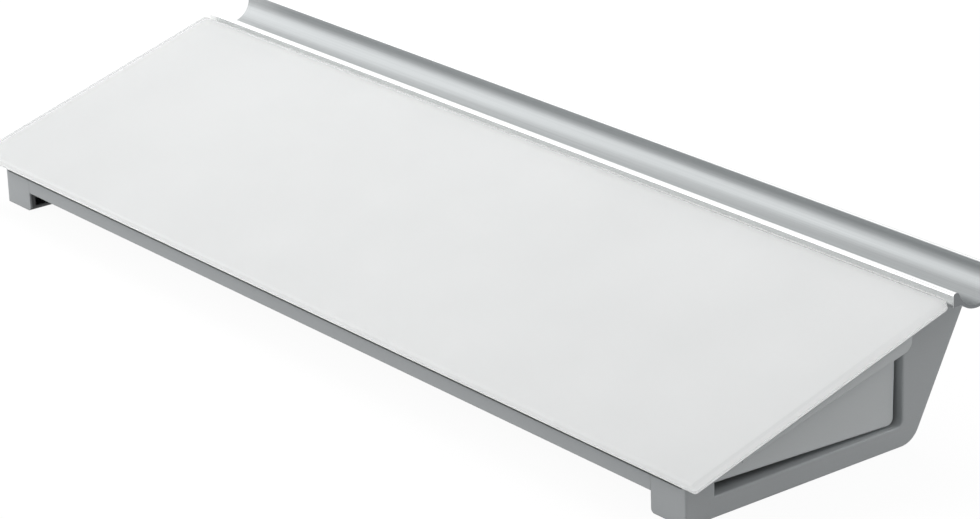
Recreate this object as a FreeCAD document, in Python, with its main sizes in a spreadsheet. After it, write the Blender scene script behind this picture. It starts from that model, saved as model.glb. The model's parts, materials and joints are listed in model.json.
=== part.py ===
"""Glass memo board: a sloping glass panel on a wedge-shaped body with a pen tray and an end drawer.

X runs along the desk, with the drawer at the +X end. Y runs from the front edge to the tray, and Z is up.
Every piece is drawn from the front face of the rail and the underside of the runners. Its body is then
shifted so that the origin lies under the middle of the board, on the desk.
"""
import FreeCAD, Part
import math
import os
import Sketcher

doc = FreeCAD.newDocument("MemoBoard")

# Driving dimensions, in millimetres and degrees
DRIVING = [
    # Writing glass, its white coat and the tape under it
    ("glass_length", 458.0, "length of the glass along the desk"),
    ("glass_depth", 122.0, "glass measured up its slope"),
    ("glass_thickness", 4.0, "toughened glass"),
    ("glass_corner", 2.5, "radius of the rear corners of the glass, seen from above"),
    ("glass_front_corner", 1.0, "radius of its front corners"),
    ("glass_arris", 0.8, "ground bevel along the upper edges of the glass"),
    ("glass_low_arris", 0.3, "ground bevel along the lower edges of the glass"),
    ("glass_front_height", 17.3, "underside of the glass at its front edge"),
    ("tilt", 16.5, "slope of the glass, degrees"),
    ("front_overhang", 4.5, "glass in front of the rail"),
    ("end_overhang", 10.3, "glass past each end frame"),
    ("film_thickness", 0.3, "white coat on the underside"),
    ("film_margin", 0.4, "clear border between the coat and the edge"),
    ("tape_thickness", 1.2, "foam tape between glass and deck"),
    ("tape_width", 12.0, "width of one strip of tape"),
    ("tape_end_margin", 16.0, "from the end of the deck to the end of a strip"),
    # Deck under the glass
    ("deck_thickness", 2.0, "sheet of the deck"),
    ("deck_setback", 8.0, "from the front edge of the glass to the deck, up the slope"),
    ("deck_screw_setback", 4.5, "front deck screws from the deck's front edge"),
    ("deck_fit", 0.2, "play between the deck and the skin of an end frame"),
    # End frames
    ("end_depth", 18.0, "width of an end frame along X"),
    ("skin", 2.0, "outer skin of an end frame"),
    ("skin_gap", 0.4, "from the skin's top edge to the coat of the glass"),
    ("wall", 2.5, "inner walls of an end frame, and the rear panel"),
    ("runner_sole", 2.0, "bottom wall of an end frame"),
    ("sill_wall", 2.0, "wall under the drawer's sill"),
    ("rear_lean", 27.6, "lean of the rear wall from upright, degrees"),
    ("rear_tuck", 5.4, "rear wall's top edge behind the middle of the trough"),
    ("rear_round", 9.0, "radius at the rear end of the runner"),
    ("rear_post", 9.4, "end frame behind the opening, at the sill"),
    ("post_block", 10.0, "solid head of the rear post, for the deck screw"),
    ("sill_height", 7.9, "sill of the drawer opening"),
    ("opening_front", 13.0, "front edge of the opening from the rail's face"),
    ("opening_round", 2.4, "radius at the rear lower corner of the opening"),
    ("outer_round", 0.6, "softened edges of the outer face"),
    ("foot_round", 1.6, "inner lower edge of a runner"),
    ("ledge_width", 12.0, "shelf that carries the base plate"),
    ("ledge_setback", 4.0, "shelf from the rail's face"),
    # Front rail, rear panel and base plate
    ("rail_bottom", 7.9, "lower edge of the rail"),
    ("rail_top", 13.7, "upper edge of the rail"),
    ("rail_edge", 0.3, "softened front edges of the rail"),
    ("rail_land", 0.4, "flat top of the rail before its bevel, from its face"),
    ("reveal_width", 1.2, "foot of the bevel behind the rail's top, from its face"),
    ("reveal_depth", 1.4, "foot of the bevel below the rail's top"),
    ("rail_thickness", 2.5, "upright sheet of the rail"),
    ("rail_fit", 0.3, "play between the rail and the front post"),
    ("base_thickness", 2.0, "base plate"),
    ("flange_thickness", 2.0, "flanges that lie on the base plate and under the deck"),
    ("flange_gap", 0.4, "from a flange to the nearest guide"),
    ("top_flange", 6.0, "upper flange of the rear panel"),
    ("boss_radius", 3.5, "boss round a base screw"),
    ("boss_height", 2.6, "boss above its flange"),
    # Middle upright
    ("rib_thickness", 2.5, "upright sheet"),
    ("rib_foot", 10.0, "foot of the upright along X"),
    ("rib_gap", 0.5, "from the upright to the closed drawer"),
    # Pen tray
    ("bead_gap", 1.3, "from the glass to the bead"),
    ("bead_drop", 0.4, "bead's lower edge below the rear edge of the glass"),
    ("bead_shoulder", 3.9, "where the bead's round top starts, above that edge"),
    ("trough_setback", 11.4, "middle of the trough behind the bead's front"),
    ("trough_radius", 9.2, "inside radius of the trough"),
    ("tray_wall", 1.3, "sheet of the tray"),
    ("tray_drop", 2.05, "floor of the trough below the rear edge of the glass"),
    ("tray_rise", 2.2, "straight part of the rear wall of the trough"),
    ("tray_lip_round", 0.45, "rounded lip of the tray"),
    ("tray_seat_gap", 0.2, "from the trough to the deck's ledge"),
    ("keel_width", 5.2, "screw rail under the bead"),
    ("keel_inset", 0.2, "screw rail behind the bead's front"),
    ("keel_end_gap", 1.0, "from the screw rail to the skin of an end frame"),
    # Drawer
    ("drawer_length", 295.0, "drawer from its face to its inner end"),
    ("drawer_hold", 85.0, "part of the drawer that stays inside when it is pulled out"),
    ("drawer_wall", 1.6, "walls of the drawer box"),
    ("drawer_floor", 1.5, "floor of the drawer box"),
    ("drawer_side_gap", 3.4, "from the drawer box to the opening"),
    ("drawer_headroom", 0.7, "from the drawer box to the deck"),
    ("slide_gap", 0.2, "from the drawer box to its runners"),
    ("hook_width", 8.0, "stop hook under the drawer's inner end, across"),
    ("hook_thickness", 2.5, "stop hook along X"),
    ("hook_drop", 1.8, "stop hook below the drawer's floor"),
    # Drawer front and its pull lip
    ("face_recess", 2.0, "face behind the outer face of the end frame"),
    ("face_thickness", 3.3, "plate of the drawer front"),
    ("face_gap", 0.6, "from the plate to the opening, at the top"),
    ("face_low_gap", 3.0, "from the plate to the opening, at the bottom"),
    ("face_rear_lift", 0.9, "plate above the sill at its rear end"),
    ("face_front_lift", 4.0, "plate above the sill at its front end"),
    ("face_round", 2.5, "rear lower corner of the plate"),
    ("lip_reach", 5.0, "pull lip outside the end frame"),
    ("lip_headroom", 0.9, "from the lip to the deck"),
    ("lip_rear_drop", 4.8, "height of the lip at its rear end"),
    ("lip_front_drop", 0.8, "height of the lip at its front end"),
    ("lip_inset", 8.0, "front end of the lip behind the front edge of the opening"),
    ("lip_corner", 2.8, "rear lower corner of the lip"),
    ("lip_edge", 0.6, "softened lower edge of the lip"),
    # Runners and stop
    ("runner_height", 2.8, "rail of a runner above the base plate"),
    ("runner_width", 10.0, "rail of a runner, across"),
    ("runner_end_gap", 0.3, "runner from the end frame and from the upright"),
    ("guide_thickness", 1.5, "upright guide of a runner"),
    ("guide_height", 4.0, "guide above the rail"),
    ("guide_gap", 0.4, "from a guide to the drawer box"),
    ("stop_length", 6.0, "stop block along X"),
    ("stop_width", 16.0, "stop block across"),
    ("stop_gap", 0.3, "from the stop block to the drawer"),
    # Rubber pads
    ("pad_length", 26.0, "pad along Y"),
    ("pad_width", 11.0, "pad along X"),
    ("pad_thickness", 1.4, "whole pad"),
    ("pad_proud", 0.4, "pad below the runner"),
    ("pad_margin", 8.0, "pad from the end of the runner's flat"),
    ("pad_corner", 2.0, "corner radius of a pad"),
    # Screws
    ("screw_radius", 1.25, "thread"),
    ("screw_head_radius", 2.6, "head"),
    ("screw_head", 1.0, "height of the head"),
    ("screw_bite", 4.0, "length of thread in the piece that it holds"),
    ("front_screw_bite", 2.3, "length of thread in the drawer front"),
    ("screw_inset", 8.0, "tip room, and deck screws from the outer face"),
    # Construction
    ("overrun", 2.0, "how far a cut runs past the piece"),
    ("pick", 0.01, "how near an edge lies to the place where it is looked for"),
]

# Places worked out from the driving dimensions
DERIVED = [
    ("body_half", "Size.glass_length / 2 - Size.end_overhang"),
    ("inner_half", "Place.body_half - Size.end_depth"),
    ("glass_back", "Size.glass_depth * cos(Size.tilt) - Size.front_overhang"),
    ("glass_back_height", "Size.glass_front_height + Size.glass_depth * sin(Size.tilt)"),
    ("deck_top_level", "-Size.film_thickness - Size.tape_thickness"),
    ("deck_low_level", "Place.deck_top_level - Size.deck_thickness"),
    ("skin_level", "-Size.film_thickness - Size.skin_gap"),
    ("reveal_floor", "Size.rail_top - Size.reveal_depth"),
    ("bead_front", "Place.glass_back + Size.bead_gap"),
    ("tray_floor", "Place.glass_back_height - Size.tray_drop"),
    ("trough_height", "Place.tray_floor + Size.trough_radius"),
    ("trough_place", "Place.bead_front + Size.trough_setback"),
    ("tray_outer", "Size.trough_radius + Size.tray_wall"),
    ("tray_back", "Place.trough_place + Place.tray_outer"),
    ("tray_top", "Place.trough_height + Size.tray_rise"),
    ("flat_top", "Place.tray_floor - Size.tray_wall - Size.tray_seat_gap"),
    ("flat_low", "Place.flat_top - Size.deck_thickness"),
    ("rear_foot", "Place.trough_place + Size.rear_tuck - Place.flat_top * tan(Size.rear_lean)"),
    ("rear_wall", "Size.wall / cos(Size.rear_lean)"),
    ("base_top", "Size.sill_height + Size.base_thickness"),
    ("flange_top", "Place.base_top + Size.flange_thickness"),
    ("opening_rear", "Place.rear_foot + Size.sill_height * tan(Size.rear_lean) - Size.rear_post"),
    ("drawer_front_side", "Size.opening_front + Size.drawer_side_gap"),
    ("drawer_rear_side", "Place.opening_rear - Size.drawer_side_gap"),
    ("drawer_middle", "(Place.drawer_front_side + Place.drawer_rear_side) / 2"),
    ("runner_top", "Place.base_top + Size.runner_height"),
    ("drawer_low", "Place.runner_top + Size.slide_gap"),
    ("floor_top", "Place.drawer_low + Size.drawer_floor"),
    ("rim_level", "Place.deck_low_level - Size.drawer_headroom"),
    ("lip_level", "Place.deck_low_level - Size.lip_headroom"),
    ("guide_front", "Place.drawer_front_side - Size.guide_gap - Size.guide_thickness"),
    ("guide_rear", "Place.drawer_rear_side + Size.guide_gap + Size.guide_thickness"),
    ("front_flange_end", "Place.guide_front - Size.flange_gap"),
    ("rear_flange_end", "Place.guide_rear + Size.flange_gap"),
    ("face_place", "Place.body_half - Size.face_recess"),
    ("box_end", "Place.face_place - Size.face_thickness"),
    ("drawer_inner_end", "Place.face_place - Size.drawer_length"),
    ("rib_place", "Place.drawer_inner_end - Size.rib_gap - Size.rib_thickness"),
    ("stop_place", "Place.face_place - Size.drawer_hold + Size.hook_thickness + Size.stop_gap"),
    ("base_screw_place", "Place.inner_half - Size.ledge_width / 2"),
    ("deck_screw_place", "Place.body_half - Size.screw_inset"),
    ("keel_front", "Place.bead_front + Size.keel_inset"),
    ("keel_screw_side", "Place.keel_front + Size.keel_width / 2"),
    ("front_shift", "(Size.front_overhang + (Size.glass_thickness - Size.glass_arris) * sin(Size.tilt)"
                    " - Place.tray_back) / 2"),
]

# Shares of the lengths that they follow
TAPE_SHARES = (0.08, 0.44, 0.8)
TRAY_SCREW_SHARES = (-0.85, -0.3, 0.3, 0.85)
RUNNER_SCREW_SHARES = (0.1, 0.5, 0.9)
RIB_SCREW_SHARES = (0.2, 0.8)
STOP_SCREW_SHARES = (0.25, 0.75)
FACE_SCREW_SHARES = (0.4, 0.88)
BEAD_ROUND_SHARE = 0.55

START, END, CENTRE = range(1, 4)


def make_sheets():
    """Fill the sheet of driving dimensions and the sheet of places that follow from them."""
    size = doc.addObject("Spreadsheet::Sheet", "Size")
    for row, (alias, value, meaning) in enumerate(DRIVING, 1):
        size.set(f"A{row}", meaning)
        size.set(f"B{row}", str(value))
        size.setAlias(f"B{row}", alias)
    doc.recompute()
    place = doc.addObject("Spreadsheet::Sheet", "Place")
    for row, (alias, formula) in enumerate(DERIVED, 1):
        place.set(f"A{row}", "=" + formula.replace("Place.", ""))
        place.setAlias(f"A{row}", alias)
        doc.recompute()
    return size


size_sheet = make_sheets()
pieces = []


def amount(expression):
    """The present value of an expression over the two sheets."""
    return float(size_sheet.evalExpression(expression))


def slope_height(along, level):
    """Height of the sheet at a level under the glass, above a place behind the rail's face."""
    run = f"(({along}) + Size.front_overhang)"
    return f"(Size.glass_front_height + {run} * tan(Size.tilt) + ({level}) / cos(Size.tilt))"


def slope_place(height, level):
    """Place behind the rail's face where the sheet at that level reaches a height."""
    rise = f"(({height}) - Size.glass_front_height - ({level}) / cos(Size.tilt))"
    return f"({rise} / tan(Size.tilt) - Size.front_overhang)"


def rear_face(height):
    """Place of the leaning rear face at a height."""
    return f"(Place.rear_foot + ({height}) * tan(Size.rear_lean))"


def new_body(label):
    """A body that stands on the pads, with the middle of the board over the origin."""
    body = doc.addObject("PartDesign::Body", label)
    body.Label = label
    body.setExpression("Placement.Base.y", "Place.front_shift")
    body.setExpression("Placement.Base.z", "Size.pad_proud")
    pieces.append(body)
    return body


def new_sketch(body, kind, offset):
    """A sketch across the board (section), level (plan) or parallel to the glass (slope)."""
    sketch = body.newObject("Sketcher::SketchObject", f"{body.Label}_{kind}")
    role = "YZ_Plane" if kind == "section" else "XY_Plane"
    plane = next(item for item in body.Origin.OriginFeatures if item.Role == role)
    sketch.AttachmentSupport = [(plane, "")]
    sketch.MapMode = "FlatFace"
    if kind == "slope":
        turn = FreeCAD.Rotation(FreeCAD.Vector(1, 0, 0), amount("Size.tilt"))
        sketch.AttachmentOffset = FreeCAD.Placement(FreeCAD.Vector(), turn)
        sketch.setExpression("AttachmentOffset.Rotation.Angle", "Size.tilt")
        back = f"-Size.front_overhang - ({offset}) * sin(Size.tilt)"
        rise = f"Size.glass_front_height + ({offset}) * cos(Size.tilt)"
        sketch.setExpression("AttachmentOffset.Base.y", back)
        sketch.setExpression("AttachmentOffset.Base.z", rise)
    else:
        sketch.setExpression("AttachmentOffset.Base.z", offset)
    return sketch


def bind(sketch, constraint, expression):
    """Add a constraint and drive it by an expression."""
    number = sketch.addConstraint(constraint)
    sketch.setExpression(f"Constraints[{number}]", expression)


def pin_point(sketch, item, end, point):
    """Hold one end of a sketch element at a point given by two expressions, from the sketch's origin."""
    for kind, expression in zip(("DistanceX", "DistanceY"), point):
        bind(sketch, Sketcher.Constraint(kind, -1, START, item, end, amount(expression)), expression)


def arc_between(first, last, radius, turn):
    """An arc of under a half circle, drawn the way round that Sketcher keeps its arcs."""
    chord = last - first
    height = math.sqrt(max(radius ** 2 - (chord.Length / 2) ** 2, 0))
    across = FreeCAD.Vector(-chord.y, chord.x, 0).normalize()
    centre = (first + last) / 2 + across * height * turn
    start, end = (first, last) if turn > 0 else (last, first)
    angles = [math.atan2(point.y - centre.y, point.x - centre.x) for point in (start, end)]
    circle = Part.Circle(centre, FreeCAD.Vector(0, 0, 1), radius)
    return Part.ArcOfCircle(circle, angles[0], angles[1])


def outline(body, kind, offset, corners):
    """A closed outline. A corner of four items starts an arc: its radius, and 1 for a left turn or -1."""
    sketch = new_sketch(body, kind, offset)
    points = [FreeCAD.Vector(amount(corner[0]), amount(corner[1]), 0) for corner in corners]
    heads = []
    for number, corner in enumerate(corners):
        first = points[number]
        last = points[(number + 1) % len(points)]
        if len(corner) == 2:
            sketch.addGeometry(Part.LineSegment(first, last), False)
            heads.append(START)
        else:
            radius, turn = corner[2], corner[3]
            sketch.addGeometry(arc_between(first, last, amount(radius), turn), False)
            heads.append(START if turn > 0 else END)
    for number, corner in enumerate(corners):
        following = (number + 1) % len(corners)
        tail = START + END - heads[number]
        sketch.addConstraint(Sketcher.Constraint("Coincident", number, tail, following, heads[following]))
        pin_point(sketch, number, heads[number], corner[:2])
        if len(corner) == 4:
            bind(sketch, Sketcher.Constraint("Radius", number, amount(corner[2])), corner[2])
    doc.recompute()
    return sketch


def circles(body, kind, offset, centres, radius):
    """Circles of one radius, for holes and bosses."""
    sketch = new_sketch(body, kind, offset)
    for number, centre in enumerate(centres):
        middle = FreeCAD.Vector(amount(centre[0]), amount(centre[1]), 0)
        sketch.addGeometry(Part.Circle(middle, FreeCAD.Vector(0, 0, 1), amount(radius)), False)
        pin_point(sketch, number, CENTRE, centre)
        bind(sketch, Sketcher.Constraint("Radius", number, amount(radius)), radius)
    doc.recompute()
    return sketch


def rectangle(low_a, high_a, low_b, high_b):
    """The corners of a rectangle from its two ranges."""
    return [(low_a, low_b), (high_a, low_b), (high_a, high_b), (low_a, high_b)]


def rounded_rectangle(low_a, high_a, low_b, high_b, radius, low_radius=None):
    """A rectangle whose four corners are arcs. The two at low_b may have a radius of their own."""
    low = low_radius or radius
    return [
        (f"{low_a} + {low}", low_b),
        (f"{high_a} - {low}", low_b, low, 1),
        (high_a, f"{low_b} + {low}"),
        (high_a, f"{high_b} - {radius}", radius, 1),
        (f"{high_a} - {radius}", high_b),
        (f"{low_a} + {radius}", high_b, radius, 1),
        (low_a, f"{high_b} - {radius}"),
        (low_a, f"{low_b} + {low}", low, 1),
    ]


def add(body, sketch, length):
    """Pad a sketch along its normal."""
    feature = body.newObject("PartDesign::Pad", f"{body.Label}_pad")
    feature.Profile = sketch
    feature.setExpression("Length", length)
    doc.recompute()
    return feature


def cut(body, sketch, depth, along_normal=False):
    """Pocket a sketch, and check that it took material away."""
    before = body.Shape.Volume
    feature = body.newObject("PartDesign::Pocket", f"{body.Label}_pocket")
    feature.Profile = sketch
    feature.Reversed = along_normal
    feature.setExpression("Length", depth)
    doc.recompute()
    if not body.Shape.Volume < before:
        raise RuntimeError(f"a cut in {body.Label} took nothing away")
    return feature


def soften(body, kind, radius, chosen):
    """Fillet or chamfer the edges of the body's tip that a test of their middle and direction picks."""
    tip = body.Tip
    names = []
    for number, edge in enumerate(tip.Shape.Edges, 1):
        middle = edge.valueAt((edge.FirstParameter + edge.LastParameter) / 2)
        ends = [vertex.Point for vertex in edge.Vertexes]
        if chosen(middle, ends):
            names.append(f"Edge{number}")
    if not names:
        raise RuntimeError(f"no edge to soften on {body.Label}")
    feature = body.newObject(f"PartDesign::{kind}", f"{body.Label}_{kind.lower()}")
    feature.Base = (tip, names)
    feature.setExpression("Radius" if kind == "Fillet" else "Size", radius)
    doc.recompute()
    return feature


def near(value, expression):
    """Whether a coordinate lies at the place that an expression gives."""
    return abs(value - amount(expression)) < amount("Size.pick")


def plate(label, kind, offset, corners, length):
    """A piece that is one padded outline."""
    body = new_body(label)
    add(body, outline(body, kind, offset, corners), length)
    return body


def make_glass():
    """Writing glass with rounded corners and ground arrises, and the white coat under it."""
    half = "Size.glass_length / 2"
    corners = rounded_rectangle(f"-{half}", half, "0", "Size.glass_depth", "Size.glass_corner",
                                "Size.glass_front_corner")
    glass = plate("glass_panel", "slope", "0", corners, "Size.glass_thickness")
    normal = FreeCAD.Vector(0, -math.sin(math.radians(amount("Size.tilt"))),
                            math.cos(math.radians(amount("Size.tilt"))))

    low_front = FreeCAD.Vector(0, -amount("Size.front_overhang"), amount("Size.glass_front_height"))

    def on_face(level):
        """A test for the edges that lie in the plane at a level above the underside."""
        def test(middle, ends):
            return all(near((point - low_front).dot(normal), level) for point in ends + [middle])
        return test

    soften(glass, "Chamfer", "Size.glass_arris", on_face("Size.glass_thickness"))
    soften(glass, "Chamfer", "Size.glass_low_arris", on_face("0"))
    margin = "Size.film_margin"
    edge = rounded_rectangle(f"{margin} - {half}", f"{half} - {margin}", margin,
                             f"Size.glass_depth - {margin}", "Size.glass_corner", "Size.glass_front_corner")
    plate("backing_film", "slope", "-Size.film_thickness", edge, "Size.film_thickness")


def make_tapes():
    """Three strips of foam tape along the deck."""
    body = new_body("bond_tapes")
    half = "Place.body_half - Size.tape_end_margin"
    for share in TAPE_SHARES:
        low = f"Size.deck_setback + (Size.glass_depth - Size.deck_setback) * {share}"
        strip = rectangle(f"-({half})", half, low, f"{low} + Size.tape_width")
        add(body, outline(body, "slope", "Place.deck_top_level", strip), "Size.tape_thickness")


def deck_screw_points():
    """Middles of the deck screws: front ones on the slope, rear ones on the flat ledge."""
    front = "Size.deck_setback + Size.deck_screw_setback"
    rear = f"({slope_place('Place.flat_top', 'Place.deck_top_level')} + Place.keel_front) / 2"
    sides = ("-Place.deck_screw_place", "Place.deck_screw_place")
    return [(side, front) for side in sides], [(side, rear) for side in sides]


def tray_screw_points():
    """Middles of the tray's screws along the screw rail."""
    return [(f"Place.body_half * {share}", "Place.keel_screw_side") for share in TRAY_SCREW_SHARES]


def make_deck():
    """Sloping deck that turns into a flat ledge under the tray."""
    front = "Size.deck_setback * cos(Size.tilt) - Size.front_overhang"
    rise = "Size.glass_front_height + Size.deck_setback * sin(Size.tilt)"
    top, low = "Place.deck_top_level", "Place.deck_low_level"
    corners = [
        (f"{front} - {low} * sin(Size.tilt)", f"{rise} + {low} * cos(Size.tilt)"),
        (slope_place("Place.flat_low", low), "Place.flat_low"),
        (rear_face("Place.flat_low"), "Place.flat_low"),
        (rear_face("Place.flat_top"), "Place.flat_top"),
        (slope_place("Place.flat_top", top), "Place.flat_top"),
        (f"{front} - {top} * sin(Size.tilt)", f"{rise} + {top} * cos(Size.tilt)"),
    ]
    half = "(Place.body_half - Size.skin - Size.deck_fit)"
    deck = plate("deck_panel", "section", f"-{half}", corners, f"2 * {half}")
    front_points, rear_points = deck_screw_points()
    slope_holes = circles(deck, "slope", f"{top} + Size.overrun", front_points, "Size.screw_radius")
    cut(deck, slope_holes, "Size.deck_thickness + 2 * Size.overrun")
    flat_holes = circles(deck, "plan", "Place.flat_top + Size.overrun", rear_points + tray_screw_points(),
                         "Size.screw_radius")
    cut(deck, flat_holes, "Size.deck_thickness + 2 * Size.overrun")


def runner_outline(top_points):
    """Closed outline of an end frame: flat sole, round heel and leaning rear, then the given top."""
    tangent = "Size.rear_round * tan((90 - Size.rear_lean) / 2)"
    return [
        ("0", "0"),
        (f"Place.rear_foot - {tangent}", "0", "Size.rear_round", 1),
        (f"Place.rear_foot + {tangent} * sin(Size.rear_lean)", f"{tangent} * cos(Size.rear_lean)"),
    ] + top_points


def opening_outline(top_front, top_rear):
    """Outline of the drawer opening up to the given heights at its front and rear."""
    return [
        ("Size.opening_front", "Size.sill_height"),
        ("Place.opening_rear - Size.opening_round", "Size.sill_height", "Size.opening_round", 1),
        ("Place.opening_rear", "Size.sill_height + Size.opening_round"),
        ("Place.opening_rear", top_rear),
        ("Size.opening_front", top_front),
    ]


def pad_ranges():
    """Ranges along Y of the front and rear rubber pads on a runner."""
    flat_end = "Place.rear_foot - Size.rear_round * tan((90 - Size.rear_lean) / 2)"
    return {
        "front": ("Size.pad_margin", "Size.pad_margin + Size.pad_length"),
        "rear": (f"{flat_end} - Size.pad_margin - Size.pad_length", f"{flat_end} - Size.pad_margin"),
    }


def pad_outline(side, ends):
    """Rounded outline of a pad, or of its recess, on the sole of one end frame."""
    middle = f"{side} * (Place.body_half - Size.end_depth / 2)"
    low, high = (f"({middle} {sign} Size.pad_width / 2)" for sign in "-+")
    return rounded_rectangle(low, high, f"({ends[0]})", f"({ends[1]})", "Size.pad_corner")


def make_end_frame(label, side, with_mouth):
    """Hollow end frame, open to the inside of the board. One of the two has the drawer's mouth."""
    frame = new_body(label)
    post_start = "Place.inner_half" if side > 0 else "-Place.body_half"
    skin_start = "Place.body_half - Size.skin" if side > 0 else "-Place.body_half"
    inner_face = "Place.inner_half" if side > 0 else "-Place.inner_half"
    step = "Size.rail_thickness + Size.rail_fit"
    low, skin = "Place.deck_low_level", "Place.skin_level"
    post_top = [
        (rear_face("Place.flat_low"), "Place.flat_low"),
        (slope_place("Place.flat_low", low), "Place.flat_low"),
        (step, slope_height(step, low)),
        (step, "Place.reveal_floor"),
        ("Size.reveal_width", "Place.reveal_floor"),
        ("Size.rail_land", "Size.rail_top"),
        ("0", "Size.rail_top"),
    ]
    add(frame, outline(frame, "section", post_start, runner_outline(post_top)), "Size.end_depth")
    skin_top = [
        (rear_face("Place.flat_top"), "Place.flat_top"),
        ("Place.glass_back", "Place.flat_top"),
        ("Place.glass_back", slope_height("Place.glass_back", skin)),
        ("0", slope_height("0", skin)),
    ]
    add(frame, outline(frame, "section", skin_start, runner_outline(skin_top)), "Size.skin")
    ledge = rectangle("Size.ledge_setback", "Place.opening_rear + Size.wall",
                      "Size.sill_height - Size.sill_wall", "Size.sill_height")
    ledge_start = "Place.inner_half - Size.ledge_width" if side > 0 else "-Place.inner_half"
    add(frame, outline(frame, "section", ledge_start, ledge), "Size.ledge_width")

    hollow = "Size.end_depth - Size.skin"
    over = "Size.overrun"
    bay = opening_outline(f"{slope_height('Size.opening_front', low)} + {over}",
                          f"{slope_height('Place.opening_rear', low)} + {over}")
    cut(frame, outline(frame, "section", inner_face, bay), hollow, side > 0)
    channel = rectangle("Size.wall", "Place.opening_rear", "Size.runner_sole",
                        "Size.sill_height - Size.sill_wall")
    cut(frame, outline(frame, "section", inner_face, channel), hollow, side > 0)
    behind = "Place.opening_rear + Size.wall"
    head = "Place.flat_low - Size.post_block"
    heel = [
        (behind, "Size.sill_height"),
        (f"{rear_face('Size.sill_height')} - Place.rear_wall", "Size.sill_height"),
        (f"{rear_face(head)} - Place.rear_wall", head),
        (behind, head),
    ]
    cut(frame, outline(frame, "section", inner_face, heel), hollow, side > 0)
    if with_mouth:
        mouth = opening_outline(slope_height("Size.opening_front", low),
                                slope_height("Place.opening_rear", low))
        cut(frame, outline(frame, "section", inner_face, mouth), f"Size.end_depth + {over}", True)

    for ends in pad_ranges().values():
        recess = outline(frame, "plan", "0", pad_outline(side, ends))
        cut(frame, recess, "Size.pad_thickness - Size.pad_proud", True)
    own = 0 if side < 0 else 1
    front_points, rear_points = deck_screw_points()
    pilot = "Size.screw_bite + Size.overrun"
    front_hole = circles(frame, "slope", f"{low} + {over}", [front_points[own]], "Size.screw_radius")
    cut(frame, front_hole, f"{pilot} + {over}")
    rear_hole = circles(frame, "plan", f"Place.flat_low + {over}", [rear_points[own]], "Size.screw_radius")
    cut(frame, rear_hole, f"{pilot} + {over}")
    base_points = base_screw_points()[2 * own:2 * own + 2]
    ledge_holes = circles(frame, "plan", f"Size.sill_height + {over}", base_points, "Size.screw_radius")
    cut(frame, ledge_holes, f"Size.sill_wall + 2 * {over}")

    outer = f"{side} * Place.body_half"
    inner = f"{side} * Place.inner_half"

    def inner_sole(middle, ends):
        lengthwise = abs(ends[0].y - ends[-1].y) > amount("Size.wall")
        return lengthwise and near(middle.x, inner) and near(middle.z, "0")

    def outer_edge(middle, ends):
        return near(middle.x, outer) and all(near(end.x, outer) for end in ends)

    def front_lip(middle, ends):
        return near(middle.y, "0") and near(middle.z, "Size.rail_top")

    soften(frame, "Fillet", "Size.foot_round", inner_sole)
    soften(frame, "Fillet", "Size.rail_edge", front_lip)
    soften(frame, "Fillet", "Size.outer_round", outer_edge)


def base_screw_points():
    """Middles of the base screws: two at the left end, then two at the right end."""
    front = "(Size.rail_thickness + Place.front_flange_end) / 2"
    rear = f"(Place.rear_flange_end + {rear_face('Place.base_top')} - Place.rear_wall) / 2"
    return [(f"{sign}Place.base_screw_place", across) for sign in ("-", "") for across in (front, rear)]


def screw_bosses(body, points):
    """Bosses on a flange, each with the pilot hole of a base screw."""
    add(body, circles(body, "plan", "Place.flange_top", points, "Size.boss_radius"), "Size.boss_height")
    above = "Place.flange_top + Size.boss_height + Size.overrun"
    holes = circles(body, "plan", above, points, "Size.screw_radius")
    cut(body, holes, "Size.boss_height + Size.flange_thickness + 2 * Size.overrun")


def make_rail():
    """Front rail: an upright sheet with a flange that lies on the base plate."""
    corners = [
        ("0", "Size.rail_bottom"),
        ("Size.rail_thickness", "Size.rail_bottom"),
        ("Size.rail_thickness", "Place.base_top"),
        ("Place.front_flange_end", "Place.base_top"),
        ("Place.front_flange_end", "Place.flange_top"),
        ("Size.rail_thickness", "Place.flange_top"),
        ("Size.rail_thickness", "Place.reveal_floor"),
        ("Size.reveal_width", "Place.reveal_floor"),
        ("Size.rail_land", "Size.rail_top"),
        ("0", "Size.rail_top"),
    ]
    rail = plate("front_rail", "section", "-Place.inner_half", corners, "2 * Place.inner_half")

    def front_edge(middle, ends):
        levels = ("Size.rail_bottom", "Size.rail_top")
        return near(middle.y, "0") and any(near(middle.z, level) for level in levels)

    soften(rail, "Fillet", "Size.rail_edge", front_edge)
    screw_bosses(rail, base_screw_points()[0::2])


def make_rear_panel():
    """Leaning rear panel with a flange on the base plate and one under the deck's ledge."""
    def inside(height):
        return f"({rear_face(height)} - Place.rear_wall)"

    under = "Place.flat_low - Size.flange_thickness"
    corners = [
        (rear_face("Size.rail_bottom"), "Size.rail_bottom"),
        (rear_face("Place.flat_low"), "Place.flat_low"),
        (f"{inside('Place.flat_low')} - Size.top_flange", "Place.flat_low"),
        (f"{inside('Place.flat_low')} - Size.top_flange", under),
        (inside(under), under),
        (inside("Place.flange_top"), "Place.flange_top"),
        ("Place.rear_flange_end", "Place.flange_top"),
        ("Place.rear_flange_end", "Place.base_top"),
        (inside("Place.base_top"), "Place.base_top"),
        (inside("Size.rail_bottom"), "Size.rail_bottom"),
    ]
    panel = plate("rear_panel", "section", "-Place.inner_half", corners, "2 * Place.inner_half")
    screw_bosses(panel, base_screw_points()[1::2])


def runner_screw_points():
    """Middles of the screws in the two runners, front runner first."""
    start = "(Place.rib_place + Size.rib_thickness)"
    places = [f"{start} + (Place.inner_half - {start}) * {share}" for share in RUNNER_SCREW_SHARES]
    sides = ("Place.guide_front + Size.runner_width / 2", "Place.guide_rear - Size.runner_width / 2")
    return [[(place, side) for place in places] for side in sides]


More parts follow.
